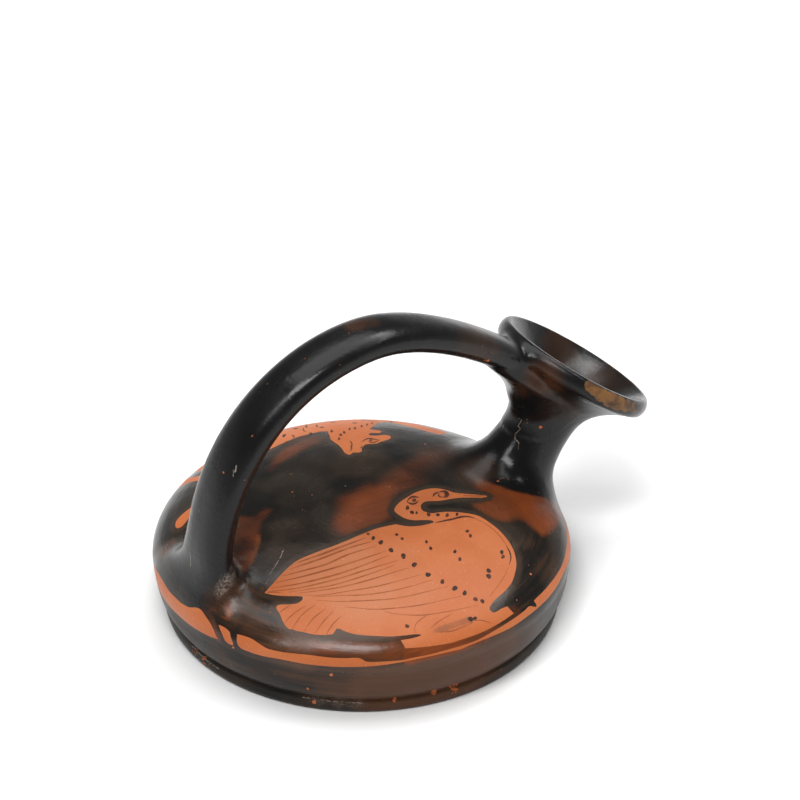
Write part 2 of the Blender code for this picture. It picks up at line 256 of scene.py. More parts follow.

# Where the slip fired red: an outline in pixels, its softness in millimetres, and (x, y, strength) within it.
# Then marks of firing and wear, with painted sheen on the wing and a painted highlight at the handle's root,
# as pixel x, pixel y, radius in millimetres and strength, scratches as the pixels of both ends and half a
# width, and chips as a pixel and a radius.
MISFIRES = [
    ([
        (325, 543), (330, 529), (338, 512), (338, 500), (353, 491), (365, 484), (376, 483), (384, 477),
        (397, 465), (415, 455), (431, 448), (450, 444), (452, 462), (440, 478), (415, 492), (398, 500),
        (394, 518), (370, 532), (345, 542),
    ], 3.4, [
        (345, 515, 0.9), (362, 500, 1), (382, 492, 0.9), (385, 512, 0.75), (375, 520, 0.7), (400, 478, 0.55),
        (418, 464, 0.5), (436, 452, 0.3), (332, 538, 0.2), (403, 497, 0.15), (430, 475, 0.15),
        (448, 468, 0.1),
    ]),
    ([
        (474, 476), (484, 475), (496, 478), (505, 480), (514, 485), (525, 487), (535, 492), (541, 497),
        (551, 501), (558, 506), (563, 516), (558, 525), (547, 534), (542, 536), (536, 531), (527, 524),
        (518, 520), (508, 522), (494, 520), (484, 516), (472, 504), (482, 501), (486, 494), (474, 488),
    ], 1.8, [
        (500, 486, 0.9), (515, 495, 1), (530, 500, 1), (545, 508, 0.85), (543, 528, 1), (525, 510, 0.95),
        (505, 510, 0.65), (490, 508, 0.5), (478, 480, 0.3), (515, 519, 0.5), (558, 512, 0.6),
    ]),
    ([
        (232, 514), (254, 516), (259, 511), (266, 508), (273, 509), (268, 516), (262, 523), (259.5, 536),
        (256, 551), (251.5, 563), (246, 574), (228, 590), (222, 560),
    ], 1.2, [
        (240, 525, 0.42), (238, 548, 0.3), (252, 520, 0.5), (265, 512, 0.65), (258, 540, 1.0),
        (250, 545, 0.45), (252, 558, 1.0), (243, 562, 0.4), (236, 574, 0.4),
    ]),
    ([
        (266, 470), (276, 455), (292, 444), (316, 435), (332, 437), (312, 447), (294, 456), (281, 464),
        (270, 472),
    ], 1.5, [
        (275, 462, 0.5), (292, 450, 0.5), (312, 441, 0.4), (325, 438, 0.25),
    ]),
    ([
        (404, 638), (404, 664), (430, 660), (460, 652), (490, 640), (522, 620), (515, 604), (490, 620),
        (460, 634), (430, 638),
    ], 0.4, [
        (408, 652, 1), (430, 650, 1), (455, 643, 0.8), (480, 634, 0.5), (505, 620, 0.25),
    ]),
    ([
        (285, 640), (320, 640), (350, 640), (385, 641), (400, 643), (404, 650), (400, 660), (380, 661),
        (362, 658), (340, 657), (310, 654), (285, 651),
    ], 0.9, [
        (300, 644, 0.25), (340, 646, 0.4), (380, 649, 0.45), (330, 654, 0.75), (390, 657, 0.8),
    ]),
    ([
        (224, 603), (232, 602), (233.5, 611), (231, 620), (225, 618), (223, 611),
    ], 0.3, [
        (228, 606, 0.35), (228, 616, 0.62),
    ]),
    ([
        (205, 600), (210, 601), (215, 611), (219, 625), (222, 640), (218, 641), (213.5, 627), (208.5, 614),
    ], 0.4, [
        (208, 604, 0.35), (218, 630, 0.6),
    ]),
]
SPOTS = {
    "thin": [
        (229, 612, 2.0, 0.55), (258.5, 536, 1.4, 0.6), (258, 540, 1.4, 0.7), (257.5, 544, 1.4, 0.7),
        (256.5, 548, 1.4, 0.7), (255.5, 552, 1.4, 0.7), (254, 556, 1.4, 0.65), (252.5, 560, 1.4, 0.6),
        (251, 564, 1.4, 0.55), (548, 380, 3.5, 0.4), (535, 374, 3, 0.35), (556, 388, 3, 0.4),
        (216, 604, 2, 0.3), (262, 588, 1.6, 0.4),
    ],
    "warm": [
        (560, 348, 9, 0.4), (600, 372, 8, 0.35), (620, 385, 7, 0.35), (420, 688, 22, 1), (385, 690, 16, 0.9),
        (345, 687, 14, 0.6), (310, 682, 14, 0.45), (460, 675, 16, 0.95), (270, 668, 14, 0.4),
        (230, 655, 12, 0.3), (500, 656, 12, 0.7), (530, 636, 10, 0.5), (540, 560, 12, 0.3),
        (520, 592, 8, 0.35), (285, 645, 8, 0.7), (255, 636, 8, 0.6), (305, 650, 9, 0.8), (335, 648, 9, 0.8),
        (370, 650, 9, 0.9), (395, 650, 7, 0.9), (240, 605, 11, 0.5), (215, 605, 7, 0.4), (272, 600, 7, 0.4),
        (475, 470, 9, 0.4), (440, 452, 11, 0.4), (480, 346, 12, 0.4), (515, 388, 6, 0.5), (545, 378, 8, 0.6),
        (360, 465, 14, 0.3), (290, 540, 14, 0.3), (300, 560, 10, 0.3), (356, 324, 5, 0.5), (371, 322, 4, 0.4),
        (168, 548, 5, 0.5), (610, 385, 5, 0.35), (560, 410, 9, 0.3),
    ],
    "ochre": [
        (590, 386, 2, 1), (595, 390, 2.2, 1), (602, 395, 2.6, 1), (611, 400, 2.9, 1), (619, 404, 2.9, 0.95),
        (627, 406, 2.7, 0.8), (634, 408, 2.5, 0.62), (640, 409, 2, 0.5),
    ],
    "wash": [
        (469, 620, 1.4, 0.62), (463, 622, 1.4, 0.5), (457, 624, 1.4, 0.42), (451, 626, 1.4, 0.45),
        (446, 628, 1.4, 0.6), (441, 629.5, 1.3, 0.6), (436, 631, 1.1, 0.4),
    ],
    # pale: painted sheen, the clay made paler where light glances off the bird's wing
    "pale": [
        (330, 575, 14, 0.8), (360, 590, 14, 0.9), (345, 560, 12, 0.8), (400, 590, 12, 0.5),
        (390, 560, 10, 0.4),
    ],
    # Scuffs on the foot; at the handle's root they are partly a painted highlight
    "scuff_and_highlight": [
        (219, 593, 1.6, 0.6), (223, 587, 1.9, 0.8), (228, 580, 1.9, 0.8), (233, 573, 1.7, 0.65),
        (238, 566, 1.5, 0.45), (243, 558, 1.4, 0.3), (318, 697, 3, 0.2), (340, 700, 3, 0.22),
        (355, 701, 3, 0.2),
    ],
    "worn": [
        (195, 650, 3, 0.6), (204, 659, 3, 0.6), (212, 667, 3, 0.5), (222, 674, 3, 0.45), (262, 690, 4, 0.4),
        (300, 700, 4, 0.4), (455, 688, 2.6, 0.62), (446, 690, 2, 0.5), (498, 480, 1.6, 0.62),
        (503, 474, 1.6, 0.5),
    ],
}
SCRATCHES = [
    (518, 418.5, 527, 419.5, 0.05), (521.5, 420, 518, 426, 0.07), (518, 426, 520.5, 429, 0.06),
    (520.5, 429, 516, 433, 0.06), (516, 433, 514.6, 438, 0.06), (514.6, 438, 519, 443, 0.08),
    (519, 443, 518, 450, 0.05), (236.3, 466, 235.2, 472, 0.16), (233.5, 470, 233, 476, 0.09),
    (283.5, 550, 280, 558, 0.1), (280, 558, 275, 566, 0.08), (275, 566, 270, 574, 0.06),
    (270, 574, 266, 584, 0.04), (190, 552, 190.5, 566, 0.09), (303, 697.5, 330, 701, 0.1),
    (334, 701.5, 362, 703, 0.1), (192, 646, 203, 657, 0.09), (205, 659, 219, 669, 0.08),
]
CHIPS = [
    (223.5, 472.6, 0.3), (199, 511, 0.2), (488, 361, 0.5), (485, 360, 0.3), (252, 436, 0.18), (541, 427, 0.5),
    (314, 702, 0.5), (394, 700, 0.6), (434, 692, 0.66), (308, 689, 0.4), (331, 675, 0.42), (530, 574, 0.3),
    (517, 600, 0.2), (283, 551, 0.2), (345, 486, 0.16), (312, 495, 0.2), (293, 492, 0.2), (233, 647, 0.4),
    (389, 487, 0.24), (425, 444, 0.26), (204, 487, 0.14), (529, 565, 0.18), (291, 474, 0.14),
    (303, 510, 0.12), (295, 528, 0.12), (271, 535, 0.12), (494, 464, 0.2), (499, 472, 0.16), (502, 478, 0.14),
]


def ease(share):
    return share * share * (3 - 2 * share)


def between_limits(values, low, high):
    """Smoothly from 0 to 1 while the values go from low to high, which may be the smaller."""
    return ease(np.clip((values - low) / (high - low), 0, 1))


def circle(radius, sides, turn=0.0):
    angles = [2 * pi * i / sides + turn for i in range(sides)]
    return [(radius * cos(angle), radius * sin(angle)) for angle in angles]


def finder(places):
    """Finds the nearest of some places, on the paper or in space."""
    tree = KDTree(len(places))
    for i, place in enumerate(places):
        tree.insert((*place, 0)[:3], i)
    tree.balance()
    return tree


def placed(name, data):
    obj = bpy.data.objects.new(name, data)
    bpy.context.scene.collection.objects.link(obj)
    return obj


def curve(points, step=OUTLINE_STEP):
    """A smooth line through a few points, as close points."""
    points = [Vector(point) for point in points]
    ends = [2 * points[0] - points[1]] + points + [2 * points[-1] - points[-2]]
    line = []
    for before, start, end, after in zip(ends, ends[1:], ends[2:], ends[3:]):
        length = (end - start).length
        out = (end - before) / max((end - start).length + (start - before).length, 1e-6) * length
        into = (after - start) / max((after - end).length + (end - start).length, 1e-6) * length
        count = max(ceil(length / step), 1)
        for i in range(count):
            t = i / count
            near = start * (2 * t**3 - 3 * t**2 + 1) + out * (t**3 - 2 * t**2 + t)
            line.append(tuple(near + end * (3 * t**2 - 2 * t**3) + into * (t**3 - t**2)))
    return line + [tuple(points[-1])]


def dome_height(radius):
    share = min(radius / BODY_RADIUS, 1.0)
    return SHOULDER_HEIGHT + DOME_RISE * (1 - share**DOME_FULLNESS) ** (1 / DOME_FULLNESS)


def body_profile():
    """Radius, height and length along the body's profile, from the apex to the foot's lower edge."""
    points = [(0.0, SHOULDER_HEIGHT + DOME_RISE)]
    for i in range(1, DOME_STEPS):
        angle = pi / 2 * (1 - i / DOME_STEPS)
        along = BODY_RADIUS * cos(angle) ** (2 / DOME_FULLNESS)
        points.append((along, SHOULDER_HEIGHT + DOME_RISE * sin(angle) ** (2 / DOME_FULLNESS)))
    for run in (WALL, GROOVE, FOOT):
        points += curve(run, PROFILE_STEP)[:-1]
    points.append(FOOT[-1])
    radius, height = np.array(points).T
    length = np.concatenate(([0.0], np.cumsum(np.hypot(np.diff(radius), np.diff(height)))))
    return radius, height, length


RADIUS, HEIGHT, LENGTH = body_profile()


def on_body(paper):
    """Places on the paper, as places on the body in space."""
    paper = np.asarray(paper, float).reshape(-1, 2)
    along = np.hypot(paper[:, 0], paper[:, 1])
    scale = np.interp(along, LENGTH, RADIUS) / np.maximum(along, 1e-9)
    return np.column_stack((paper * scale[:, None], np.interp(along, LENGTH, HEIGHT)))


def off_body(places):
    """Places on the body in space, as places on the paper."""
    radius = np.hypot(places[:, 0], places[:, 1])
    height = places[:, 2]
    widest = int(np.argmax(RADIUS))
    on_dome = np.interp(radius, RADIUS[: widest + 1], LENGTH[: widest + 1])
    on_wall = np.interp(-height, -HEIGHT[widest:], LENGTH[widest:])
    edge = SHOULDER_HEIGHT + 0.4 * DOME_RISE
    on_rim = np.interp(-height, -HEIGHT[: widest + 1], LENGTH[: widest + 1])
    along = np.where(height > edge, on_dome, np.where(height > SHOULDER_HEIGHT, on_rim, on_wall))
    return places[:, :2] * (along / np.maximum(radius, 1e-9))[:, None]


def view_axes():
    """The camera's place and its right, up and backward directions."""
    flat = cos(VIEW_ELEVATION)
    back = Vector((sin(VIEW_AZIMUTH) * flat, -cos(VIEW_AZIMUTH) * flat, sin(VIEW_ELEVATION)))
    right = Vector((cos(VIEW_AZIMUTH), sin(VIEW_AZIMUTH), 0.0))
    up = back.cross(right)
    shift = right * (AIM_PIXEL[0] - PHOTO_SIDE / 2) - up * (AIM_PIXEL[1] - PHOTO_SIDE / 2)
    return AIM + back * VIEW_DISTANCE - shift / PIXELS_PER_MM, right, up, back


EYE, VIEW_RIGHT, VIEW_UP, VIEW_BACK = view_axes()


def sight(pixel):
    """The direction from the camera through a pixel of the photograph."""
    focal = PIXELS_PER_MM * VIEW_DISTANCE
    across = VIEW_RIGHT * ((pixel[0] - PHOTO_SIDE / 2) / focal)
    return (across - VIEW_UP * ((pixel[1] - PHOTO_SIDE / 2) / focal) - VIEW_BACK).normalized()


def seen(pixels):
    """Pixels of the photograph, as places on the paper. One just off the body's outline is drawn onto it."""
    widest = int(np.argmax(RADIUS))
    steps = np.linspace(VIEW_DISTANCE - SIGHT_REACH, VIEW_DISTANCE + SIGHT_REACH, SIGHT_STEPS)
    found = []
    for pixel in pixels:
        path = np.array(EYE) + steps[:, None] * np.array(sight(pixel))
        height = path[:, 2]
        upper = np.interp(-height, -HEIGHT[: widest + 1], RADIUS[: widest + 1], left=-1)
        lower = np.interp(-height, -HEIGHT[widest:], RADIUS[widest:], right=-1)
        gap = np.hypot(path[:, 0], path[:, 1]) - np.where(height > SHOULDER_HEIGHT, upper, lower)
        found.append(path[np.argmax(gap < 0) if gap.min() < 0 else np.argmin(gap)])
    return [tuple(place) for place in off_body(np.array(found))]


def polar(places):
    """Azimuths in degrees with lengths along the profile, as places on the paper."""
    return [(along * cos(radians(angle)), along * sin(radians(angle))) for angle, along in places]


def outline(*strokes):
    """A closed outline from strokes on the paper. Each stroke is smooth, and strokes meet in corners."""
    line = []
    for stroke in strokes:
        points = curve(stroke)
        if line and (Vector(line[-1]) - Vector(points[0])).length < OUTLINE_STEP / 2:
            points = points[1:]
        line += points
    if (Vector(line[0]) - Vector(line[-1])).length < OUTLINE_STEP / 2:
        line.pop()
    return line


def brush_line(points, width, step):
    """The outline of one stroke of the brush, which swells to its width and thins at both ends."""
    line = [Vector(point) for point in curve(points, step)]
    left, right = [], []
    for i, point in enumerate(line):
        way = (line[min(i + 1, len(line) - 1)] - line[max(i - 1, 0)]).normalized()
        share = i / (len(line) - 1)
        thin = BRUSH_TIP + (1 - BRUSH_TIP) * min(share * 3, (1 - share) * 3, 1.0)
        side = Vector((-way.y, way.x)) * width / 2 * thin
        left.append(tuple(point + side))
        right.append(tuple(point - side))
    return left + right[::-1]


def dab(centre, radius):
    """The outline of one touch of the brush: an uneven round spot."""
    points = []
    for i in range(DAB_SIDES):
        angle = 2 * pi * i / DAB_SIDES
        reach = radius * (1 + 0.14 * sin(2 * angle + 9 * centre[0]) + 0.08 * sin(3 * angle + 5 * centre[1]))
        points.append((centre[0] + reach * cos(angle), centre[1] + reach * sin(angle)))
    return points


def bird():
    """The long-beaked bird on the near side, which faces right with its neck drawn back."""
    wing_edge = [
        (264.5, 593), (272.7, 584), (283.3, 572.3), (293.9, 562.8), (301, 558.6), (319.9, 551),
        (338.8, 543.9), (362.4, 534), (376.5, 528.6), (395.8, 524.2),
    ]
    neck_and_head = [
        (395.8, 524.2), (403.9, 525.8), (411.6, 526.4), (422.1, 525.5), (433.6, 522.4), (431.7, 520.5),
        (422.1, 520.1), (412.5, 520.1), (404.9, 518.3), (399.1, 515), (394.8, 511.6), (394.3, 509.7),
        (395.8, 506.4), (400.6, 501.6), (408.7, 496.3), (415.4, 492.5), (425, 489.4), (433.6, 488.2),
        (442.2, 489.1), (447.9, 490.6), (453.7, 492.5), (464.2, 493.7), (475.7, 494.7), (486.2, 495.6),
    ]
    beak_and_breast = [
        (487.3, 496.8), (481.4, 497.7), (470.9, 497.6), (461.3, 497.7), (450.8, 498.9), (439.3, 500.8),
        (429.7, 501.1), (425, 501.8), (421.3, 504.4), (421.1, 508.3), (423.5, 511.1), (431.7, 513.2),
        (439.3, 512.3), (447, 511.9), (456.5, 512.1), (464.2, 513), (471.8, 514.2), (477.6, 515.7),
        (485.2, 519.7), (492.9, 525), (499.6, 530.7), (505.3, 537), (510.1, 543.7), (513.9, 551.3),
        (515.8, 559), (516.3, 565.7), (514.9, 573.3), (512, 582), (507.2, 588.6), (501.5, 594.4),
        (495.8, 599.2), (491.9, 603.9), (489.5, 607.8), (490, 609.7), (492.9, 612.5), (496.7, 611.6),
        (501.5, 608.7), (507.2, 606.4),
    ]
    ground = [
        (513.7, 613.5), (503.9, 620.1), (490.5, 628), (477.1, 634.2), (463.7, 638.8), (450.4, 642.9),
        (434.3, 645.5), (420.9, 647.1), (405.5, 648.2),
    ]
    belly = [
        (400.8, 640.2), (410.2, 638.8), (419.6, 636.2), (421.2, 634.8), (415.5, 634.2), (404.8, 635.5),
        (390, 636.4), (370.8, 635.8), (355, 634.2), (345.5, 631.6), (339.2, 628.7), (336.6, 628.6),
    ]
    tail = [
        (332.9, 634.2), (325.5, 634.9), (318.1, 634.9), (311.8, 634.2), (303.4, 632.1), (297.1, 631),
        (291.8, 629.1), (288.7, 628.9), (285, 625.2), (282.4, 620.5), (279.7, 613.7), (276.6, 608.9),
        (276.6, 606.3), (279.2, 604.9), (290.8, 604.4), (297.1, 603.4), (300.2, 601.6), (302.9, 598.9),
        (302.4, 596.8), (299.2, 596.3), (289.7, 596.1), (280.3, 595.8), (271.8, 594.7), (264.5, 593),
    ]
    strokes = (wing_edge, neck_and_head, beak_and_breast, ground, belly, tail)
    return outline(*[seen(stroke) for stroke in strokes])


def bird_strokes():
    """The inner drawing of the bird: its brush lines with their widths in pixels, and its spots."""
    wing = [
        ([(297.8, 562.6), (321.4, 554.4), (339.5, 547.6), (365.8, 537.7)], 2.2),
        ([(289.7, 569.4), (321.4, 558.5), (348.6, 548.1), (371.2, 541.7)], 1.9),
        ([(282.5, 576.1), (303.3, 570.7), (325.9, 564.4), (348.6, 554.4), (375.7, 546.3)], 1.7),
        ([(276.1, 582.5), (298.8, 577.5), (325.9, 570.3), (348.6, 563.5), (385.7, 551.2)], 1.7),
        ([(270.7, 588.4), (298.8, 583.8), (325.9, 577.5), (348.6, 570.7), (389.3, 555.3)], 1.7),
        ([(268, 591.4), (290.6, 589.3), (312.3, 585.2), (339.5, 578.4), (366.7, 569.8), (397.5, 560.6)], 1.5),
        ([(288, 592.3), (305.1, 589.7), (330.5, 585.7), (357.6, 578), (393.9, 565.5)], 1.2),
        ([(298, 593.4), (312.3, 591.5), (339.5, 587.5), (366.7, 580.7), (399.3, 570.7), (408.7, 568.1)], 1.2),
    ]
    fine = [
        ([(267, 592.5), (274, 592.2), (281, 592.5)], 1.2),
        ([(305.1, 595.2), (321.4, 595.2), (348.6, 591.1), (375.7, 586.6), (399.3, 580.7), (422.1, 574.1)],
         1.1),
        ([(312.3, 597), (339.5, 595.6), (366.7, 594.7), (399.3, 589.3), (432.6, 579.8)], 1.1),
        ([(316, 600.1), (339.5, 601.5), (375.7, 600.1), (399.3, 597.9), (447.9, 586.5)], 1.1),
        ([(344.4, 606.8), (360.2, 608.4), (370.8, 609.3), (386.5, 608.9), (419.2, 605.3), (461.3, 596.1)],
         1.1),
        ([(384.4, 611.6), (395, 613.9), (419.2, 615.3), (440, 613), (479.5, 605.1)], 1.1),
        ([(279.7, 612.6), (285, 608.5), (290.8, 605)], 1.2),
        ([(283.9, 623.4), (294, 613.5), (305.5, 605.8)], 1.2),
        ([(291.8, 628.9), (303, 614), (315.5, 604.7)], 1.2),
        ([(303.9, 631.6), (312.9, 618.9), (326, 608.4)], 1.2),
        ([(314.5, 634.2), (322.3, 623.1), (332.9, 611)], 1.2),
        ([(325, 636.3), (332.9, 624.2), (341.3, 616.3)], 1.2),
        ([(474.7, 518.3), (482, 521.8), (490, 527), (497, 533), (503, 540), (507, 547)], 1.1),
        ([(508.5, 568), (505, 575), (500, 583), (494, 591), (489.5, 597)], 1),
        ([(463, 495.7), (475, 496.1), (486, 496)], 1.5),
        ([(427.6, 614.7), (416.9, 622.8), (414.5, 628.8), (416.2, 633.5)], 1.1),
        ([(453, 613.4), (441, 620.1), (432.9, 626.1), (429.3, 630.1)], 1.1),
        ([(437, 632.1), (450.4, 631.5), (463.7, 626.8), (473.1, 622.5)], 1.2),
        ([(473.1, 620.8), (482.5, 620.5), (491.2, 623.4)], 1.2),
    ]
    face = [
        ([(435.5, 522.6), (451.7, 519.3), (461.3, 516.9), (469, 516.7), (474.7, 518.3)], 1.9),
        ([(506.3, 545.6), (510.1, 553.2), (510.8, 559), (509, 565)], 1.4),
        ([(433, 496.8), (434.4, 494), (438.4, 492)], 2.2),
        ([(439.4, 492), (444, 491.4), (447.2, 492.6), (448, 494.8), (446, 496.8), (443, 497.2)], 2.6),
        ([(439.4, 492.2), (438.2, 494.4), (439.6, 496.6), (443, 497.2)], 1.5),
        ([(444.4, 492.8), (446.4, 494.4), (444.6, 496.2)], 3.0),
        ([(407, 501.8), (409.4, 498.4), (412.8, 496.8), (416, 497), (419, 497.4)], 1.9),
        ([(407, 501.8), (409.6, 503.3), (412.8, 504), (416.2, 503), (418.6, 500.6)], 1.9),
    ]
    dots = [
        (368, 534, 1.5), (373.2, 538.1, 2), (380.8, 542.4, 2.4), (391, 550.2, 2.4), (403.4, 556.1, 2.7),
        (414.3, 564.8, 2.6), (428.1, 574.7, 2.6), (442.4, 581.7, 2.3), (454.8, 588.3, 2.7),
        (464.7, 593.1, 2.4), (475.5, 599.3, 2.3), (482.4, 601.3, 2.2), (396.7, 534.6, 1.6),
        (402.2, 538.7, 1.6), (426.4, 541.9, 1.6), (430.7, 548.3, 1.8), (467.3, 531.2, 1.7),
        (470.4, 535.8, 1.8), (454.9, 551.6, 1.8), (459.9, 559.3, 1.9), (501.8, 552.3, 2.1), (503, 556.8, 2),
        (488.7, 570.8, 2.4), (488.7, 576.3, 2.6), (407.5, 507.8, 2.1), (412, 512.4, 2), (416.6, 512.8, 1.4),
        (428.6, 514.4, 2.1), (437.9, 514.8, 1.8), (447.2, 515.2, 1.9), (457, 514.3, 1.6), (407.1, 626.2, 2.1),
        (414.2, 500.2, 2), (470.6, 619.2, 2.6), (475, 618.4, 2),
    ]
    strokes = [(seen(brush_line(pixels, width, PIXEL_STEP)), DILUTE) for pixels, width in wing + fine]
    strokes += [(seen(brush_line(pixels, width, PIXEL_STEP)), RELIEF) for pixels, width in face]
    return strokes + [(seen(dab((x, y), reach)), RELIEF) for x, y, reach in dots]


def feline():
    """The spotted cat on the far side, which faces the spout with its head turned back over its body."""
    back = [(274.7, 447), (285.5, 441.9), (298.3, 436.8), (311, 433.6), (320.6, 431.5), (327.6, 431.3)]
    face = [
        (327.6, 431.3), (329.5, 435.5), (331.4, 440), (337.8, 444.4), (341.6, 448.3), (344.8, 452.7),
        (349.3, 454.9), (353.1, 452.7), (360.8, 452.1), (362, 448.3), (365.9, 444.4), (374.8, 443.8),
        (382.4, 441.3), (390.1, 438.7), (390.7, 436.1),
    ]
    ears = [
        (390.7, 436.1), (385, 434.9), (377.3, 435.5), (371, 435.5), (368.4, 434.2), (371, 433), (379.9, 433),
        (380.5, 431), (374.8, 430), (369.1, 429.1),
    ]
    foreleg = [
        (372.2, 426.6), (379.9, 422.5), (387.6, 422.1), (406.7, 425.9), (425.8, 431), (438.6, 434.2),
        (445, 433.6),
    ]
    hidden_front = [
        (28.6, 43.2), (31, 44.4), (36, 44.4), (41, 45.6), (47, 45.6), (50.5, 46.8), (52, 49), (53, 50.6),
        (56, 51.2), (58.5, 50.8), (59.5, 48.8), (61, 46.6), (66, 45.7), (80, 46.2), (95, 45.7), (104, 47.6),
    ]
    hidden_hind = [
        (104, 47.6), (105.5, 50), (108, 51.4), (112, 51.6), (114.8, 50.8), (115.9, 48), (117, 45.6),
        (119, 44.4), (120.4, 45.4), (120, 47.6), (118.8, 50.8), (120.5, 51.8), (123, 51.8), (123.6, 50),
        (123.4, 47.6), (123.4, 45.4), (124.2, 43), (126, 41.8),
    ]
    tail = [
        (126, 41.8), (131, 41), (136, 41), (140, 41.5), (143, 43.6), (145.4, 45), (147.1, 45.3),
        (149.2, 45.1), (150.1, 44.4), (149.8, 43.4), (147.5, 42.1), (144, 40.8), (140, 39.7), (134, 38.2),
        (124, 36.6), (114, 35.8), (104, 35.2),
    ]
    return outline(
        seen(back),
        seen(face),
        seen(ears),
        seen(foreleg) + polar(hidden_front),
        polar(hidden_hind),
        polar(tail) + seen(back[:1]),
    )


def feline_strokes():
    """The inner drawing of the cat: spots, a collar of dots and its face, then a guess at its far side."""
    lines = [
        ([(350, 440.8), (351.6, 443), (352.2, 445), (350.8, 446.8), (352, 448), (350, 451)], 1.5),
        ([(303.8, 427.6), (303.2, 430.2), (306, 431.8)], 1.2),
        ([(291.6, 435.4), (294.4, 436.2), (293, 438)], 1.4),
        ([(360, 448.6), (361.8, 447), (362, 445.4)], 1.2),
        ([(361.4, 441.8), (364.6, 440), (368.4, 438.4), (373.3, 439), (379.2, 440)], 1.2),
        ([(368.2, 440.6), (371.6, 442.8), (375.2, 442), (379.2, 440.2)], 1.2),
        ([(278, 447.6), (288, 442.6), (300, 438), (311, 435), (320, 433)], 1.1),
    ]
    dots = [
        (339, 438.8, 1.4), (340.8, 434.8, 1.4), (344.2, 432.4, 1.4), (349.6, 429, 1.2), (355, 428.2, 1.3),
        (361.7, 426.2, 1.2), (367.1, 424.7, 1.1), (372.1, 423.4, 1), (283.8, 436, 1.4), (316.8, 425.9, 1.2),
        (331.6, 431.2, 1.4), (370.8, 440.2, 1.2), (306.4, 426.4, 1.2), (310.8, 433.4, 1.3), (286.8, 442, 1),
    ]
    spots = [
        (60, 41), (67, 43.5), (72, 39.5), (80, 43), (86, 40), (93, 43.2), (99, 40.4), (106, 44), (112, 42.4),
        (118, 43.2), (57, 44.6), (48, 43.6),
    ]
    strokes = [(seen(brush_line(pixels, width, PIXEL_STEP)), RELIEF) for pixels, width in lines]
    strokes += [(seen(dab((x, y), reach)), RELIEF) for x, y, reach in dots]
    strokes += [(dab(place, HIDDEN_SPOT), RELIEF) for place in polar(spots)]
    legs = ([(97, 38.6), (100, 42), (104, 45.6)], [(52, 42.4), (56, 44.4), (58, 47.4)])
    return strokes + [(brush_line(polar(leg), HIDDEN_LINE, PAPER_STEP), RELIEF) for leg in legs]


def band():
    """The band left in clay round the shoulder, broken by drips of slip at the near left."""
    left_top = [
        (153.1, 560), (156.9, 567.7), (161.5, 574.5), (166.1, 582.2), (172.2, 592.1), (180.6, 600.6),
        (185.2, 604.4), (191.3, 607.1), (199, 607.8), (203.6, 609.7), (208.2, 617.4), (213.5, 627.3),
        (218.1, 639.2),
    ]
    left_foot = [
        (218.1, 639.2), (209.7, 635.8), (195.9, 628.1), (184.4, 619.7), (176, 612), (167.6, 602.9),
        (159.9, 590.6), (154.6, 579.1),
    ]
    right_top = [
        (237.2, 634.2), (244.1, 635.8), (251.8, 638.8), (260, 644.2), (268.7, 648.9), (286.6, 652.6),
        (307.6, 654.7), (328.7, 657.3), (344.4, 658.1), (358.1, 657.9), (362.3, 659.4), (366.5, 661.6),
        (381.3, 661.6), (402.3, 660), (410.2, 658.3), (430.3, 654.2), (450.4, 648.9), (463.7, 644.9),
        (477.1, 640.2), (490.3, 632.9), (507.2, 622.7), (517.6, 615.8), (524.4, 610.6), (529.6, 606),
        (533.6, 606.6), (536.5, 606.6), (536, 603.7), (534, 601), (536.6, 597.6), (543.6, 590.8),
        (551.2, 582), (557.6, 573), (563, 562.5), (565.8, 551), (567, 538.9),
    ]
    right_foot = [
        (570.4, 550.4), (568.6, 561.8), (563.5, 573.3), (557.7, 584.8), (549.7, 596.3), (540.5, 605.5),
        (532.5, 612.3), (518.7, 622.7), (507.2, 629.6), (490.3, 636.8), (470.4, 644.9), (458.4, 649.8),
        (423.6, 657.6), (396.8, 662.9), (370.4, 666.2), (339.2, 666.8), (307.6, 664.2), (276, 658.4),
        (260, 655.3), (241.8, 648.8), (238, 644.9), (236.9, 640.4),
    ]
    hidden_top = [
        (-18, 52.3), (0, 52.6), (20, 52.4), (45, 52.1), (70, 51.7), (95, 51.9), (112, 52), (128, 52.2),
        (138, 52.7), (147, 53.5),
    ]
    hidden_foot = [
        (-20, 54), (0, 54.4), (20, 54.4), (45, 54.7), (70, 54.4), (95, 54.6), (116, 54.8), (130, 55.3),
        (140, 56.3), (149, 57.5),
    ]
    top = seen(left_top)[::-1] + polar(hidden_top[::-1]) + seen(right_top)[::-1]
    foot = top[-1:] + seen(right_foot)[::-1] + polar(hidden_foot) + seen(left_foot)[::-1]
    return outline(top, foot)


def scrap():
    """The small piece of clay that shows between the drips."""
    pixels = [
        (219.3, 624.7), (223.5, 626.6), (229.6, 631.9), (230.7, 636.5), (233.4, 644.9), (229.6, 644.2),
        (225, 640.4), (222.7, 634.2), (220.4, 628.9),
    ]
    return outline(seen(pixels + pixels[:1]))


def painting():
    """Everything painted on the body, in the order in which it covers what is under it."""
    figures = [(line, CLAY) for line in (bird(), feline(), band(), scrap())]
    return figures + bird_strokes() + feline_strokes()


def inside_outline(line, points):
    """Which points on the paper lie within an outline."""
    line = np.asarray(line)
    low, high = line.min(axis=0), line.max(axis=0)
    found = np.zeros(len(points), bool)
    near = np.flatnonzero(((points > low) & (points < high)).all(axis=1))
    x, y = points[near].T
    within = np.zeros(len(near), bool)
    for (x0, y0), (x1, y1) in zip(line, np.roll(line, -1, axis=0)):
        if y0 != y1:
            crossed = (y0 > y) != (y1 > y)
            within ^= crossed & (x < x0 + (x1 - x0) * (y - y0) / (y1 - y0))
    found[near] = within
    return found


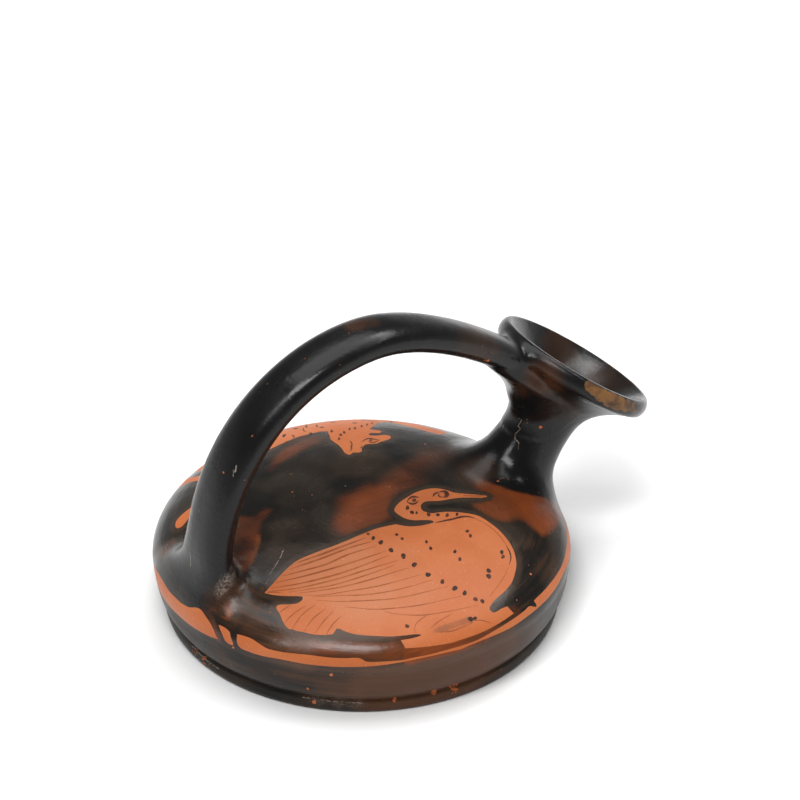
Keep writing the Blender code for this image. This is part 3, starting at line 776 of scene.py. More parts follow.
def layout(shapes):
    """Cuts the paper into triangles along all the outlines, and says which paint each triangle has."""
    points, edges = [], []
    for line, _ in shapes:
        start = len(points)
        points += line
        edges += [(start + i, start + (i + 1) % len(line)) for i in range(len(line))]
    outlines = finder(points)
    radii = [GRAIN * RING_SPACING * i for i in range(int(EDGE_GRAIN_FROM / GRAIN / RING_SPACING))]
    while radii[-1] < SKIRT_START - 0.7 * EDGE_GRAIN:
        radii.append(radii[-1] + EDGE_GRAIN)
    for ring, radius in enumerate(radii):
        count = max(round(2 * pi * radius / GRAIN), 1)
        for i in range(count):
            angle = 2 * pi * (i + ring % 2 / 2) / count
            place = (radius * cos(angle), radius * sin(angle))
            if outlines.find((*place, 0))[2] > CLEAR_OF_OUTLINE:
                points.append(place)
    rim = len(points)
    sides = round(2 * pi * SKIRT_START / GRAIN)
    points += circle(SKIRT_START, sides)
    edges += [(rim + i, rim + (i + 1) % sides) for i in range(sides)]
    cut = delaunay_2d_cdt([Vector(point) for point in points], edges, [], 0, CUT_TOLERANCE)
    places, _, faces, origins, _, _ = cut
    order = {}
    for new, olds in enumerate(origins):
        for old in olds:
            if old >= rim:
                order[old - rim] = new
    places = np.array([tuple(place) for place in places])
    faces = np.array(faces)
    centres = places[faces].mean(axis=1)
    paints = np.full(len(faces), GLAZE)
    for line, paint in shapes:
        paints[inside_outline(line, centres)] = paint
    return places, faces, paints, [order[i] for i in range(sides)]


def new_piece(name, points, faces, paints=None):
    """An object from points in millimetres, with one paint for each face."""
    mesh = bpy.data.meshes.new(name)
    mesh.from_pydata([tuple(MM * value for value in point) for point in points], [], faces)
    for material in MATERIALS:
        mesh.materials.append(material)
    if paints is not None:
        mesh.polygons.foreach_set("material_index", np.asarray(paints, np.int32))
    mesh.update()
    return placed(name, mesh)


def rings_to_faces(first, count, sides):
    """Faces between rings of points, each ring lying below the one before it."""
    faces = []
    for ring in range(count - 1):
        upper, lower = first + ring * sides, first + (ring + 1) * sides
        for i in range(sides):
            j = (i + 1) % sides
            faces.append((upper + i, lower + i, lower + j, upper + j))
    return faces


def closed_tube(points, sides):
    """Faces between rings of points that start at the first one, with a flat face at each end."""
    last = len(points) - sides
    ends = [tuple(range(sides)), tuple(last + i for i in reversed(range(sides)))]
    return rings_to_faces(0, len(points) // sides, sides) + ends


def painted_body():
    """The body as a closed surface: painted dome and shoulder, then wall, groove, foot and underside."""
    places, faces, paints, rim = layout(painting())
    corners = places[faces]
    turn = np.cross(corners[:, 1] - corners[:, 0], corners[:, 2] - corners[:, 0])
    faces = [tuple(face) if way > 0 else tuple(face[::-1]) for face, way in zip(faces.tolist(), turn)]
    points = [tuple(point) for point in on_body(places)]
    sides = len(rim)
    groove = np.interp(-WALL[-1][1], -HEIGHT, LENGTH)
    stations = list(np.arange(SKIRT_START + WALL_STEP, groove, WALL_STEP))
    stations += list(np.arange(groove, LENGTH[-1], FOOT_STEP)) + [LENGTH[-1]]
    profile = [(np.interp(s, LENGTH, RADIUS), np.interp(s, LENGTH, HEIGHT)) for s in stations] + UNDERSIDE
    first = len(points)
    for radius, height in profile:
        points += [(x, y, height) for x, y in circle(radius, sides)]
    faces += [(rim[i], first + i, first + (i + 1) % sides, rim[(i + 1) % sides]) for i in range(sides)]
    below = rings_to_faces(first, len(profile), sides)
    faces += below
    last = len(points) - sides
    faces.append(tuple(last + i for i in reversed(range(sides))))
    skirt = sides * len(stations)
    bare = len(below) - skirt + sides + 1
    paints = list(paints) + [GLAZE] * (sides + len(below) + 1 - bare) + [CLAY] * bare
    return new_piece("vessel_dressed", points, faces, paints)


def turned(name, profile, sides, paint, frame_of=Matrix(), turn=0.0):
    """A closed solid turned about its own Z, from (radius, height) pairs given from the top down."""
    points = []
    for radius, height in profile:
        points += [frame_of @ Vector((x, y, height)) for x, y in circle(radius, sides, turn)]
    faces = closed_tube(points, sides)
    return new_piece(name, points, faces, [paint] * len(faces))


def cavity_profile():
    """The inside of the body: the dome and the wall less their thickness, down to the floor."""
    radius, rise = BODY_RADIUS - BODY_WALL, DOME_RISE - BODY_WALL
    inner = WALL[-1][0] - CAVITY_INSET - BODY_WALL
    points = []
    for i in range(1, CAVITY_DOME_STEPS + 1):
        angle = pi / 2 * (1 - i / CAVITY_DOME_STEPS)
        out, up = cos(angle) ** (2 / DOME_FULLNESS), max(sin(angle), 0.0) ** (2 / DOME_FULLNESS)
        points.append((radius * out, SHOULDER_HEIGHT + rise * up))
    for i in range(CAVITY_CORNER_STEPS + 1):
        angle = pi / 2 * i / CAVITY_CORNER_STEPS
        inset = INNER_CORNER_RADIUS * (1 - cos(angle))
        points.append((inner - inset, FLOOR_THICKNESS + INNER_CORNER_RADIUS * (1 - sin(angle))))
    return points


def spout_radius(along):
    """The spout's outer radius at a distance along its axis, from the dome up to under the lip."""
    if along < NECK_PLACE:
        share = (NECK_PLACE - along) / NECK_PLACE
        return NECK_RADIUS + (SPOUT_BASE_RADIUS - NECK_RADIUS) * share**SPOUT_BASE_FLARE
    share = (along - NECK_PLACE) / (SPOUT_LENGTH - LIP_DEPTH - NECK_PLACE)
    return NECK_RADIUS + (LIP_RADIUS - LIP_UNDERCUT - NECK_RADIUS) * share**LIP_FLARE


def spout_profile():
    """The spout as a solid, from its top down: crest, round lip, flared neck and base."""
    points = [(LIP_RADIUS - LIP_CREST_INSET, SPOUT_LENGTH)]
    for i in range(1, LIP_RINGS):
        angle = pi * i / LIP_RINGS
        inset = LIP_CREST_INSET if angle < pi / 2 else LIP_UNDERCUT
        height = SPOUT_LENGTH - LIP_DEPTH / 2 * (1 - cos(angle))
        points.append((LIP_RADIUS - inset * (1 - sin(angle)), height))
    top = SPOUT_LENGTH - LIP_DEPTH
    for i in range(SPOUT_RINGS + 1):
        along = top * (1 - i / SPOUT_RINGS)
        points.append((spout_radius(along), along))
    return points + [(SPOUT_BASE_RADIUS - SPOUT_BURIED / 2, -SPOUT_BURIED)]


def mouth_profile():
    """The hollow of the mouth and the bore, which ends inside the body's hollow."""
    top = SPOUT_LENGTH + MOUTH_CLEARANCE
    crest = LIP_RADIUS - LIP_CREST_INSET - LIP_CREST_WIDTH
    points = []
    for i in range(SPOUT_RINGS):
        along = top + (NECK_PLACE - top) * i / (SPOUT_RINGS - 1)
        share = max(along - NECK_PLACE, 0.0) / (SPOUT_LENGTH - NECK_PLACE)
        points.append((BORE_RADIUS + (crest - BORE_RADIUS) * share**MOUTH_FLARE, along))
    return points + [(BORE_RADIUS, -SPOUT_BURIED)]


def spout_frame():
    """Places the spout: its own Z runs out along its axis."""
    place = BODY_RADIUS - SPOUT_INSET
    seat = Vector((place, 0.0, dome_height(place) - SPOUT_SEAT))
    return Matrix.Translation(seat) @ Matrix.Rotation(SPOUT_TILT, 4, "Y")


def handle_centres():
    """The handle's centreline, from inside the shoulder over the apex and into the spout."""
    root = Vector((HANDLE_ROOT_INSET - BODY_RADIUS, 0.0, SHOULDER_HEIGHT + HANDLE_ROOT_RISE))
    root_pull = root + Vector((HANDLE_ROOT_LEAN, 0.0, HANDLE_ROOT_PULL))
    apex = HANDLE_APEX
    place = SPOUT_LENGTH - LIP_DEPTH - HANDLE_END_UNDER_LIP
    end = spout_frame() @ Vector((HANDLE_END_DEPTH - spout_radius(place), 0.0, place))
    end_pull = end - HANDLE_END_PULL * Vector((cos(HANDLE_END_DROP), 0.0, -sin(HANDLE_END_DROP)))
    half = HANDLE_RINGS // 2 + 1
    back = interpolate_bezier(root, root_pull, apex - Vector((HANDLE_APEX_PULL_BACK, 0, 0)), apex, half)
    front = interpolate_bezier(apex, apex + Vector((HANDLE_APEX_PULL_FRONT, 0, 0)), end_pull, end, half)
    return back + front[1:]


def between(share, values):
    """A size that passes from its root value through its middle value to its end value."""
    root, middle, end = values
    if share < 0.5:
        return root + (middle - root) * ease(2 * share)
    return middle + (end - middle) * ease(2 * share - 1)


def squarish(value):
    """The sine or cosine of an angle, drawn out towards the corners of a square."""
    return abs(value) ** (2 / HANDLE_SQUARENESS) * (1 if value > 0 else -1)


def handle_ring(centre, tangent, share):
    """One section of the handle: a squarish oval, flared at the root and webbed at the spout."""
    across = Vector((-tangent.z, 0.0, tangent.x))
    root_flare = max(1 - share / ROOT_FLARE_SHARE, 0.0) ** 2
    end_web = END_WEB * max((share - 1) / END_WEB_SHARE + 1, 0.0) ** 2
    thickness, width = between(share, HANDLE_THICKNESS), between(share, HANDLE_WIDTH)
    ring = []
    for i in range(HANDLE_SIDES):
        angle = 2 * pi * i / HANDLE_SIDES
        out, side = squarish(cos(angle)), squarish(sin(angle))
        depth = thickness / 2 * out + end_web * min(out, 0.0)
        flare = root_flare * (ROOT_FLARE_FAR if side > 0 else ROOT_FLARE_NEAR)
        ring.append(centre + across * depth + Vector((0.0, (width / 2 + flare) * side, 0.0)))
    return ring


def strap_handle():
    centres = handle_centres()
    lengths = [0.0]
    for before, after in zip(centres, centres[1:]):
        lengths.append(lengths[-1] + (after - before).length)
    points = []
    for i, centre in enumerate(centres):
        tangent = (centres[min(i + 1, len(centres) - 1)] - centres[max(i - 1, 0)]).normalized()
        points += handle_ring(centre, tangent, lengths[i] / lengths[-1])
    faces = closed_tube(points, HANDLE_SIDES)
    return new_piece("handle_solid", points, faces, [GLAZE] * len(faces))


def combined(obj, tools, operation):
    """An object's mesh after Boolean steps with some tools, which are used up."""
    for tool in tools:
        step = obj.modifiers.new(tool.name, "BOOLEAN")
        step.operation, step.solver, step.object = operation, "EXACT", tool
    mesh = bpy.data.meshes.new_from_object(obj.evaluated_get(bpy.context.evaluated_depsgraph_get()))
    obj.modifiers.clear()
    obj.data = mesh
    for tool in tools:
        bpy.data.objects.remove(tool, do_unlink=True)


def surface_tree(obj):
    mesh = bmesh.new()
    mesh.from_mesh(obj.data)
    tree = BVHTree.FromBMesh(mesh)
    mesh.free()
    return tree


def distance_to(tree, point):
    """How far a point is outside a surface, and the way that grows. It can be inside by BURIED at most."""
    place, normal, _, distance = tree.find_nearest(point, FAR * MM)
    if place is None:
        return FAR * MM, Vector((0.0, 0.0, 1.0))
    offset = point - place
    if distance < 0.02 * MM:
        return offset.dot(normal), normal
    side = -1 if offset.dot(normal) < 0 and distance < BURIED * MM else 1
    return side * distance, offset * (side / distance)


def blended(first, second, reach):
    """Two distances joined as one surface that is rounded where they are nearly equal."""
    (near, near_way), (far, far_way) = sorted((first, second), key=lambda pair: pair[0])
    share = max(1 - (far - near) / reach, 0.0)
    return near - share * share * reach / 4, near_way.lerp(far_way, share / 2)


def merge_short_edges(mesh, verts):
    """Merges the ends of each short edge between these points, where the surface stays closed."""
    verts = set(verts)
    while True:
        merged, touched = {}, set()
        for edge in {edge for vert in verts for edge in vert.link_edges}:
            if edge.calc_length() > JOIN_MERGE * MM:
                continue
            first, second = edge.verts
            around = {side.other_vert(first) for side in first.link_edges}
            beyond = {side.other_vert(second) for side in second.link_edges}
            if len(around & beyond) == 2 and not touched & (around | beyond):
                touched |= around | beyond
                first.co = (first.co + second.co) / 2
                merged[second] = first
        if not merged:
            return
        verts -= set(merged)
        bmesh.ops.weld_verts(mesh, targetmap=merged)


def smooth_joins(obj, body, spout, strap):
    """Spreads the points near each join over a rounded surface. The borders of the paints stay sharp."""

    def surface_at(point):
        to_body, to_strap, to_spout = (distance_to(tree, point) for tree in (body, strap, spout))
        reach = SPOUT_BLEND
        if to_strap[0] < to_body[0]:
            along = (point - seat).dot(axis) / MM
            share = ease(min(max((along - END_BLEND_FROM) / (END_BLEND_TO - END_BLEND_FROM), 0.0), 1.0))
            reach = UNDER_BLEND + (LIP_BLEND - UNDER_BLEND) * share
        return blended(blended(to_body, to_strap, ROOT_BLEND * MM), to_spout, reach * MM)

    def in_joins():
        verts = [vert for vert in mesh.verts if not JOIN_FREE[0] * MM < vert.co.x < JOIN_FREE[1] * MM]
        verts = [vert for vert in verts if vert.co.z > SKIRT_TOP * MM]
        return [vert for vert in verts if surface_at(vert.co)[0] < -JOIN_EDGE * MM]

    def settle(verts):
        for vert in verts:
            depth, way = surface_at(vert.co)
            step = way * depth / max(way.length_squared, 0.05)
            vert.co -= step * min(JOIN_STEP * MM / max(step.length, 1e-9), 1.0)

    seat = spout_frame().translation * MM
    axis = spout_frame().col[2].to_3d()
    mesh = bmesh.new()
    mesh.from_mesh(obj.data)
    bmesh.ops.triangulate(mesh, faces=mesh.faces)
    merge_short_edges(mesh, in_joins())
    near = in_joins()
    for _ in range(JOIN_MOVES):
        settle(near)
        edges = {edge for vert in near for edge in vert.link_edges if len(edge.link_faces) == 2}
        plain = [e for e in edges if e.link_faces[0].material_index == e.link_faces[1].material_index]
        faces = list({face for edge in plain for face in edge.link_faces})
        bmesh.ops.beautify_fill(mesh, faces=faces, edges=plain, method="AREA")
        free = [v for v in near if len({face.material_index for face in v.link_faces}) == 1]
        for _ in range(JOIN_PASSES):
            bmesh.ops.smooth_vert(
                mesh, verts=free, factor=JOIN_SMOOTHING, use_axis_x=True, use_axis_y=True, use_axis_z=True
            )
    settle(near)
    settle(near)
    mesh.to_mesh(obj.data)
    mesh.free()


def vessel():
    """The whole flask: body, spout and handle in one, less the hollow inside."""
    body = painted_body()
    spout = turned("spout_solid", spout_profile(), SPOUT_SIDES, GLAZE, spout_frame())
    strap = strap_handle()
    trees = [surface_tree(obj) for obj in (body, spout, strap)]
    combined(body, [spout, strap], "UNION")
    smooth_joins(body, *trees)
    cavity = turned("cavity", cavity_profile(), CAVITY_SIDES, CLAY)
    mouth = turned("mouth", mouth_profile(), SPOUT_SIDES, GLAZE, spout_frame(), pi / SPOUT_SIDES)
    combined(body, [cavity, mouth], "DIFFERENCE")
    body.data.shade_smooth()
    body.data.set_sharp_from_angle(angle=SHARP_ANGLE)
    return body


class Finish:
    """A material's shader, with short ways to build what drives it. Patterns are measured in millimetres."""

    def __init__(self, name):
        material = bpy.data.materials[name]
        material.use_nodes = True
        self.tree = material.node_tree
        self.shader = self.tree.nodes["Principled BSDF"]
        self.place = self.scaled(self.add("ShaderNodeTexCoord").outputs["Object"], 1 / MM)

    def add(self, kind, inputs=None, **settings):
        node = self.tree.nodes.new(kind)
        for key, value in settings.items():
            setattr(node, key, value)
        for key, value in (inputs or {}).items():
            self.put(node.inputs[key], value)
        return node

    def put(self, socket, value):
        if isinstance(value, bpy.types.NodeSocket):
            self.tree.links.new(value, socket)
        else:
            socket.default_value = value

    def maths(self, operation, *values):
        return self.add("ShaderNodeMath", dict(enumerate(values)), operation=operation).outputs[0]

    def vector(self, operation, *values):
        """A step of vector maths: a number where it measures something, or else a vector."""
        node = self.add("ShaderNodeVectorMath", dict(enumerate(values)), operation=operation)
        measures = operation in ("LENGTH", "DISTANCE", "DOT_PRODUCT")
        return node.outputs["Value" if measures else "Vector"]

    def scaled(self, vector, factor):
        return self.add("ShaderNodeVectorMath", {0: vector, "Scale": factor}, operation="SCALE").outputs[0]

    def noise(self, size, detail=3.0, place=None, shift=(0.0, 0.0, 0.0)):
        """An even noise about 0.5 whose marks are about this many millimetres wide."""
        place = self.vector("ADD", place or self.place, shift)
        inputs = {"Vector": place, "Scale": 1 / size, "Detail": detail}
        return self.add("ShaderNodeTexNoise", inputs).outputs[0]

    def vary(self, value, pattern, amount):
        """A value raised and lowered by an even pattern about 0.5."""
        return self.maths("MULTIPLY_ADD", self.maths("SUBTRACT", pattern, 0.5), amount, value)

    def step(self, value, low, high, start=0.0, end=1.0):
        """A smooth passage from start to end, while the value goes from low to high."""
        inputs = {"Value": value, "From Min": low, "From Max": high, "To Min": start, "To Max": end}
        return self.add("ShaderNodeMapRange", inputs, interpolation_type="SMOOTHSTEP").outputs[0]

    def mix(self, share, first, second):
        return self.add("ShaderNodeMix", {0: share, 6: first, 7: second}, data_type="RGBA").outputs[2]

    def blend(self, share, first, second):
        return self.add("ShaderNodeMix", {0: share, 2: first, 3: second}, data_type="FLOAT").outputs[0]

    def attribute(self, name):
        return self.add("ShaderNodeAttribute", attribute_name=name).outputs["Fac"]

    def wobbled(self, scale, reach):
        """The place on the flask, shifted this way and that, so that what is measured from it is ragged."""
        noise = self.add("ShaderNodeTexNoise", {"Vector": self.place, "Scale": scale, "Detail": 2.0})
        wobble = self.vector("SUBTRACT", noise.outputs["Color"], (0.5, 0.5, 0.5))
        return self.vector("MULTIPLY_ADD", wobble, (reach, reach, reach), self.place)

    def chips(self, places):
        """Where small chips are: 1 within a ragged spot about each (centre, radius), in millimetres."""
        place = self.wobbled(*CHIP_WOBBLE)
        mask = 0.0
        for centre, radius in places:
            away = self.vector("DISTANCE", place, centre)
            mask = self.maths("MAXIMUM", mask, self.step(away, radius * 1.15, radius * 0.85))
        return mask

    def scratches(self, places):
        """Where thin scratches are: 1 within the given distance of each straight (start, end, distance)."""
        place = self.wobbled(*SCRATCH_WOBBLE)
        mask = 0.0
        for start, end, reach in places:
            way = end - start
            from_start = self.vector("SUBTRACT", place, start)
            share = self.vector("DOT_PRODUCT", from_start, way / way.length_squared)
            share = self.maths("MINIMUM", self.maths("MAXIMUM", share, 0.0), 1.0)
            away = self.vector("DISTANCE", from_start, self.scaled(way, share))
            mask = self.maths("MAXIMUM", mask, self.step(away, reach * 1.3, reach * 0.7))
        return mask

    def brushed(self, start, end, width, length):
        """An even noise drawn out along the line between two pixels of the photograph."""
        way = np.subtract(*on_body(seen([end, start])))
        turn = (0.0, 0.0, atan2(way[1], way[0]))
        inputs = {"Vector": self.place, "Rotation": turn, "Scale": (length, width, width)}
        place = self.add("ShaderNodeMapping", inputs, vector_type="TEXTURE").outputs[0]
        return self.noise(1.0, 3.0, place=place)

    def bump(self, height, depth):
        """Raises the surface by a height of 0 to 1, whose full size is this many millimetres."""
        inputs = {"Height": height, "Distance": depth * MM}
        normal = self.shader.inputs["Normal"]
        if normal.is_linked:
            inputs["Normal"] = normal.links[0].from_socket
        self.put(normal, self.add("ShaderNodeBump", inputs).outputs[0])


def clay_colour(finish):
    """Fired clay: warm orange, paler in places, with painted sheen on the wing and fine dark and pale grains.
    """
    patches = finish.step(finish.noise(9.0, 4.0), 0.38, 0.66)
    dark_grains = finish.step(finish.noise(0.55, 2.0), 0.66, 0.74, 0.0, 0.35)
    pale_grains = finish.step(finish.noise(0.4, 1.0, shift=(7.0, 3.0, 1.0)), 0.68, 0.75, 0.0, 0.3)
    colour = finish.mix(patches, CLAY_ORANGE, CLAY_PALE)
    # Painted sheen: the clay made paler over the bird's wing, where light glances off it
    colour = finish.mix(finish.attribute("pale"), colour, CLAY_PAINTED_SHEEN)
    colour = finish.mix(dark_grains, colour, CLAY_DARK)
    return finish.mix(pale_grains, colour, CLAY_LIGHT)


def reserved_clay():
    """Clay that the slip was kept off, under a few washes of thin slip."""
    finish = Finish("reserved_clay")
    colour = clay_colour(finish)
    uneven = finish.maths("MULTIPLY", finish.noise(0.8, 2.0), 0.16)
    wash = finish.maths("ADD", finish.attribute("wash"), uneven)
    colour = finish.mix(finish.step(wash, 0.15, 0.65), colour, WASH_BROWN)
    finish.put(finish.shader.inputs["Base Color"], finish.mix(finish.step(wash, 0.7, 1.0), colour, LINE_DARK))
    finish.shader.inputs["Roughness"].default_value = CLAY_ROUGHNESS
    finish.shader.inputs["Specular IOR Level"].default_value = CLAY_SHINE
    finish.bump(finish.noise(0.5, 3.0), 0.02)
    finish.bump(finish.noise(5.0, 2.0), 0.08)


def line_paint(name, colour, faint):
    """Slip drawn thinly over the clay, so that it breaks up a little."""
    finish = Finish(name)
    cover = finish.step(finish.noise(4.0, 3.0), 0.35, 0.6, faint, 1.0)
    finish.put(finish.shader.inputs["Base Color"], finish.mix(cover, clay_colour(finish), colour))
    finish.shader.inputs["Roughness"].default_value = LINE_ROUGHNESS
    finish.shader.inputs["Specular IOR Level"].default_value = LINE_SHINE
    finish.bump(finish.noise(5.0, 2.0), 0.08)


def black_glaze(chips, scratches):
    """The black slip: satin, brushed on in streaks, red where smoke didn't reach, chipped and scuffed;
    painted highlight at the handle's root.
    """
    finish = Finish("black_glaze")
    broad = finish.noise(14.0, 2.0)
    fine = finish.noise(2.2, 4.0, shift=(5.0, 9.0, 2.0))
    x, y, z = finish.add("ShaderNodeSeparateXYZ", {0: finish.place}).outputs
    radius = finish.vector("LENGTH", finish.add("ShaderNodeCombineXYZ", {0: x, 1: y}).outputs[0])
    angle = finish.maths("MULTIPLY", finish.maths("ARCTAN2", y, x), 4.0)
    wheel = finish.add("ShaderNodeCombineXYZ", {0: angle, 1: radius, 2: z}).outputs[0]
    streaks = finish.noise(1.3, 3.0, place=wheel)
    by_neck = finish.step(x, *WING_TO_NECK)
    brushed = finish.blend(by_neck, finish.brushed(*WING_BRUSH), finish.brushed(*NECK_BRUSH))
    brushed = finish.blend(finish.step(x, *HANDLE_TO_WING), fine, brushed)
    on_body = finish.attribute("on_body")

    brown = finish.maths("MULTIPLY", on_body, finish.step(broad, 0.36, 0.6, 0.15, 0.75))
    colour = finish.mix(brown, GLAZE_BLACK, GLAZE_BROWN)
    outer = finish.maths("MULTIPLY", on_body, finish.step(radius, *OUTER_BODY))
    brown = finish.maths("MULTIPLY", outer, finish.step(streaks, 0.5, 0.75, 0.0, 0.5))
    colour = finish.mix(brown, colour, GLAZE_BROWN)
    warm = finish.vary(finish.attribute("warm"), streaks, finish.maths("MULTIPLY", outer, 1.1))
    warm = finish.vary(warm, broad, 0.5)
    colour = finish.mix(finish.step(warm, 0.1, 1.0, 0.0, 0.9), colour, GLAZE_WARM)

    misfire, stripe = finish.attribute("misfire"), finish.attribute("stripe")
    red = finish.vary(finish.maths("SUBTRACT", broad, 0.5), brushed, 0.85)
    red = finish.maths("MULTIPLY_ADD", red, finish.step(misfire, 0.05, 0.6), misfire)
    red = finish.maths("MULTIPLY_ADD", stripe, -0.55, red)
    reddish = finish.mix(finish.step(brushed, 0.3, 0.75), GLAZE_RED, GLAZE_RED_DARK)
    colour = finish.mix(finish.step(red, 0.05, 1.05, 0.0, 0.95), colour, reddish)
    colour = finish.mix(finish.maths("MULTIPLY", stripe, 0.6), colour, GLAZE_CONTOUR)
    thin = finish.vary(finish.attribute("thin"), fine, 0.5)
    colour = finish.mix(finish.step(thin, 0.3, 0.9, 0.0, 0.9), colour, GLAZE_THIN)

    ochre = finish.step(finish.vary(finish.attribute("ochre"), fine, 0.35), 0.35, 0.65)
    speckle = finish.step(finish.noise(3.2, 6.0, shift=(1.0, 2.0, 3.0)), 0.4, 0.64)
    colour = finish.mix(ochre, colour, finish.mix(speckle, OCHRE, OCHRE_DARK))

    patchy = finish.maths("SUBTRACT", finish.noise(0.8, 5.0), 0.5)
    worn = finish.step(finish.maths("ADD", finish.attribute("worn"), patchy), 0.6, 0.68)
    bare = finish.maths("MAXIMUM", finish.chips(chips), worn)
    specks = finish.step(finish.noise(0.7, 1.0, shift=(4.0, 4.0, 4.0)), 0.78, 0.8)
    dust = finish.maths("MAXIMUM", bare, finish.maths("MULTIPLY", specks, 0.5))
    colour = finish.mix(dust, colour, clay_colour(finish))
    # Pale scuffs: worn on the foot, and at the handle's root partly a painted highlight of streaks
    scuff_and_highlight = finish.step(finish.brushed(*SCUFF_AND_HIGHLIGHT_BRUSH), 0.32, 0.66, 0.0, 0.7)
    scuff_and_highlight = finish.maths("MULTIPLY", scuff_and_highlight, finish.attribute("scuff_and_highlight"))
    scratch = finish.maths("MAXIMUM", finish.maths("MULTIPLY", finish.scratches(scratches), 0.7), scuff_and_highlight)
    finish.put(finish.shader.inputs["Base Color"], finish.mix(scratch, colour, PALE_SCRATCH_AND_HIGHLIGHT))

    rough = finish.vary(finish.step(broad, 0.35, 0.7, *GLAZE_ROUGHNESS), streaks, 0.12)
    rough = finish.maths("MULTIPLY_ADD", finish.maths("MAXIMUM", bare, ochre), 0.3, rough)
    rough = finish.maths("ADD", rough, finish.step(z, *SHOULDER_FADE[::-1], 0.0, 0.15))
    finish.put(finish.shader.inputs["Roughness"], rough)
    shine = finish.maths("MULTIPLY_ADD", on_body, GLAZE_SHINE_ON_BODY, GLAZE_SHINE)
    shine = finish.maths("MULTIPLY", shine, finish.step(z, *SHOULDER_FADE, 0.55, 1.0))
    finish.put(finish.shader.inputs["Specular IOR Level"], shine)
    finish.bump(finish.noise(0.6, 3.0), 0.028)
    finish.bump(streaks, 0.035)
    finish.bump(finish.noise(6.0, 2.0), 0.12)
    finish.bump(finish.maths("SUBTRACT", 1.0, bare), 0.12)


def pixel_places(tree, pixels):
    """Where the camera's rays through some pixels meet the finished flask, in millimetres."""
    found = []
    for pixel in pixels:
        place = tree.ray_cast(EYE * MM, sight(pixel))[0]
        if place is None:
            raise ValueError(f"pixel {pixel} doesn't fall on the flask")
        found.append(place / MM)
    return found


def soft_spots(points, tree, spots):
    """A value at each point that is full at the middle of each (pixel x, pixel y, radius, strength) spot."""
    value = np.zeros(len(points))
    centres = pixel_places(tree, [(x, y) for x, y, _, _ in spots])
    for centre, (_, _, radius, strength) in zip(centres, spots):
        share = np.clip(1 - np.linalg.norm(points - np.array(centre), axis=1) / radius, 0, 1)
        value = np.maximum(value, strength * ease(np.minimum(share * 1.6, 1)))
    return value


def soft_areas(points, areas):
    """A value at each point on the paper, from areas as outline, softness and strengths at some pixels."""
    value = np.zeros(len(points))
    for pixels, softness, strengths in areas:
        line = curve(seen(pixels + pixels[:1]), MISFIRE_STEP)
        border = finder(line)
        low, high = np.min(line, axis=0) - 2 * softness, np.max(line, axis=0) + 2 * softness
        near = np.flatnonzero(((points > low) & (points < high)).all(axis=1))
        away = np.array([border.find((*points[i], 0))[2] for i in near])
        away = np.where(inside_outline(line, points)[near], away, -away)
        given = np.array(seen([(x, y) for x, y, _ in strengths]))
        weight = 1 / (np.linalg.norm(points[near, None] - given, axis=2) ** 2 + 1)
        strength = weight @ np.array([strength for _, _, strength in strengths]) / weight.sum(axis=1)
        value[near] = np.maximum(value[near], strength * between_limits(away, -softness, softness))
    return value


def mark(flask):
    """Stores marks of brush, kiln, wear, painted sheen and painted highlight at the flask's points, and says
    where chips and scratches are.
    """
    tree = surface_tree(flask)
    mesh = flask.data
    points = np.empty(len(mesh.vertices) * 3)
    mesh.vertices.foreach_get("co", points)
    points = points.reshape(-1, 3) / MM

    figures = [place for place in bird() + feline() if np.hypot(*place) < STRIPE_REACH]
    outlines = finder(on_body(figures))
    away = np.array([outlines.find(point)[2] for point in points])

    spout = np.array(spout_frame().inverted())
    in_spout = points @ spout[:3, :3].T + spout[:3, 3]
    from_axis = np.hypot(in_spout[:, 0], in_spout[:, 1])
    on_neck = between_limits(from_axis, *NECK_SIDE)
    on_neck = np.maximum(on_neck, between_limits(in_spout[:, 2], *NECK_RISE))
    radius = np.hypot(points[:, 0], points[:, 1])
    above = points[:, 2] - np.array([dome_height(value) for value in radius])
    on_body_skin = (1 - on_neck) * between_limits(above, *BODY_SKIN)
    foot_edge = between_limits(radius, *FOOT_EDGE_RADIUS) * between_limits(points[:, 2], *FOOT_EDGE_HEIGHT)
    lip_edge = between_limits(in_spout[:, 2], *LIP_EDGE)
    marks = {
        "misfire": soft_areas(off_body(points), MISFIRES) * on_body_skin,
        "on_body": on_body_skin,
        "stripe": between_limits(away, *STRIPE_EDGE),
    }
    for name, spots in SPOTS.items():
        marks[name] = soft_spots(points, tree, spots)
    marks["ochre"] *= between_limits(in_spout[:, 2], *OCHRE_RISE)
    marks["worn"] = np.maximum(marks["worn"], FOOT_WEAR * foot_edge + LIP_WEAR * lip_edge)
    for name, values in marks.items():
        mesh.attributes.new(name, "FLOAT", "POINT").data.foreach_set("value", values.astype(np.float32))
    centres = pixel_places(tree, [(x, y) for x, y, _ in CHIPS])
    starts = pixel_places(tree, [(x, y) for x, y, _, _, _ in SCRATCHES])
    ends = pixel_places(tree, [(x, y) for _, _, x, y, _ in SCRATCHES])
    scratches = [(start, end, scratch[4]) for start, end, scratch in zip(starts, ends, SCRATCHES)]
    return [(centre, chip[2]) for centre, chip in zip(centres, CHIPS)], scratches


def studio_floor():
    mesh = bpy.data.meshes.new("floor")
    corners = [(-FLOOR, -FLOOR, 0), (FLOOR, -FLOOR, 0), (FLOOR, FLOOR, 0), (-FLOOR, FLOOR, 0)]
    mesh.from_pydata(corners, [], [(0, 1, 2, 3)])
    pale = bpy.data.materials.new("pale_floor")
    pale.use_nodes = True
    shader = pale.node_tree.nodes["Principled BSDF"]
    shader.inputs["Base Color"].default_value = (FLOOR_WHITE, FLOOR_WHITE, FLOOR_WHITE, 1)
    shader.inputs["Roughness"].default_value = FLOOR_ROUGHNESS
    shader.inputs["Specular IOR Level"].default_value = FLOOR_SHINE
    mesh.materials.append(pale)
    return placed("floor", mesh)


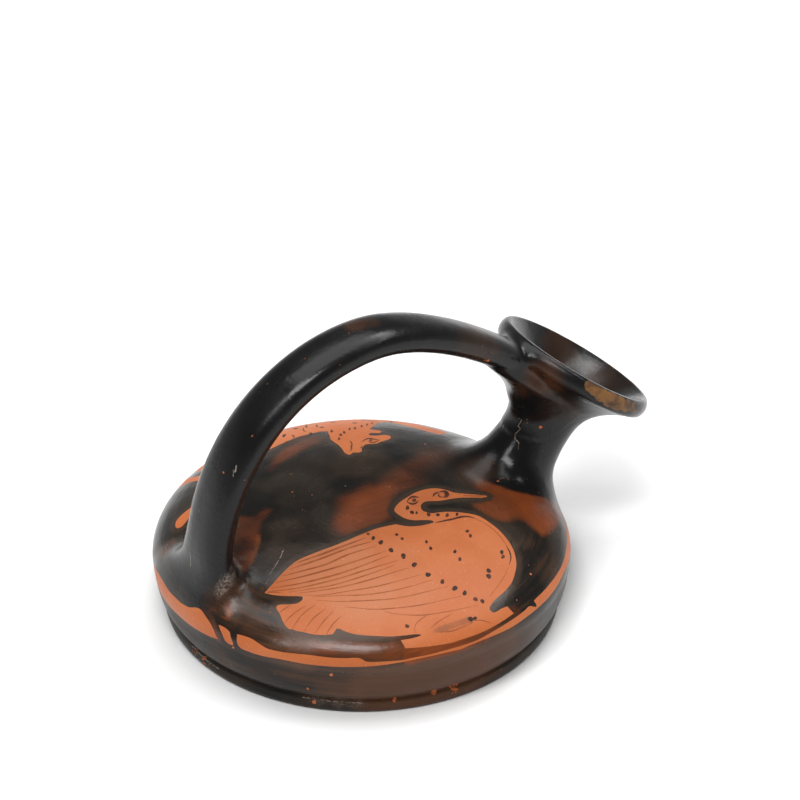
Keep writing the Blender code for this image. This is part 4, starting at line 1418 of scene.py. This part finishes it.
def studio_lights():
    """Soft lights that all point at the flask."""
    for name, azimuth, elevation, distance, width, depth, power in LIGHTS:
        lamp = bpy.data.lights.new(name, "AREA")
        lamp.shape = "RECTANGLE"
        lamp.energy, lamp.size, lamp.size_y = power, width, depth
        turn, lift = radians(azimuth), radians(elevation)
        towards = Vector((sin(turn) * cos(lift), -cos(turn) * cos(lift), sin(lift)))
        light = placed(name, lamp)
        light.location = AIM * MM + towards * distance
        light.rotation_euler = towards.to_track_quat("Z", "Y").to_euler()


def studio_sky():
    """Faint white light from all round, stronger near the horizon than above."""
    world = bpy.data.worlds.new("studio")
    world.use_nodes = True
    tree = world.node_tree
    split = tree.nodes.new("ShaderNodeSeparateXYZ")
    tree.links.new(tree.nodes.new("ShaderNodeTexCoord").outputs["Generated"], split.inputs[0])
    fade = tree.nodes.new("ShaderNodeMapRange")
    fade.interpolation_type = "SMOOTHSTEP"
    tree.links.new(split.outputs["Z"], fade.inputs["Value"])
    fade.inputs["From Min"].default_value, fade.inputs["From Max"].default_value = SKY_FADE
    fade.inputs["To Min"].default_value = HORIZON_LIGHT
    fade.inputs["To Max"].default_value = SKY_LIGHT
    tree.nodes["Background"].inputs["Color"].default_value = (1, 1, 1, 1)
    tree.links.new(fade.outputs[0], tree.nodes["Background"].inputs["Strength"])
    bpy.context.scene.world = world


def photograph_camera():
    lens = bpy.data.cameras.new("camera")
    lens.sensor_width = SENSOR
    lens.lens = PIXELS_PER_MM * VIEW_DISTANCE / PHOTO_SIDE * SENSOR
    camera = placed("camera", lens)
    axes = Matrix((VIEW_RIGHT, VIEW_UP, VIEW_BACK)).transposed().to_4x4()
    camera.matrix_world = Matrix.Translation(EYE * MM) @ axes
    bpy.context.scene.camera = camera
    bpy.context.scene.view_settings.view_transform = "Standard"


MATERIALS = [bpy.data.materials.new(name) for name in PAINT_NAMES]
flask = vessel()
chips, scratches = mark(flask)
reserved_clay()
line_paint("dilute_line", LINE_BROWN, 0.6)
line_paint("relief_line", LINE_DARK, 0.85)
black_glaze(chips, scratches)
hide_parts("vessel")
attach(flask, "root")
studio_floor()
studio_lights()
studio_sky()
photograph_camera()
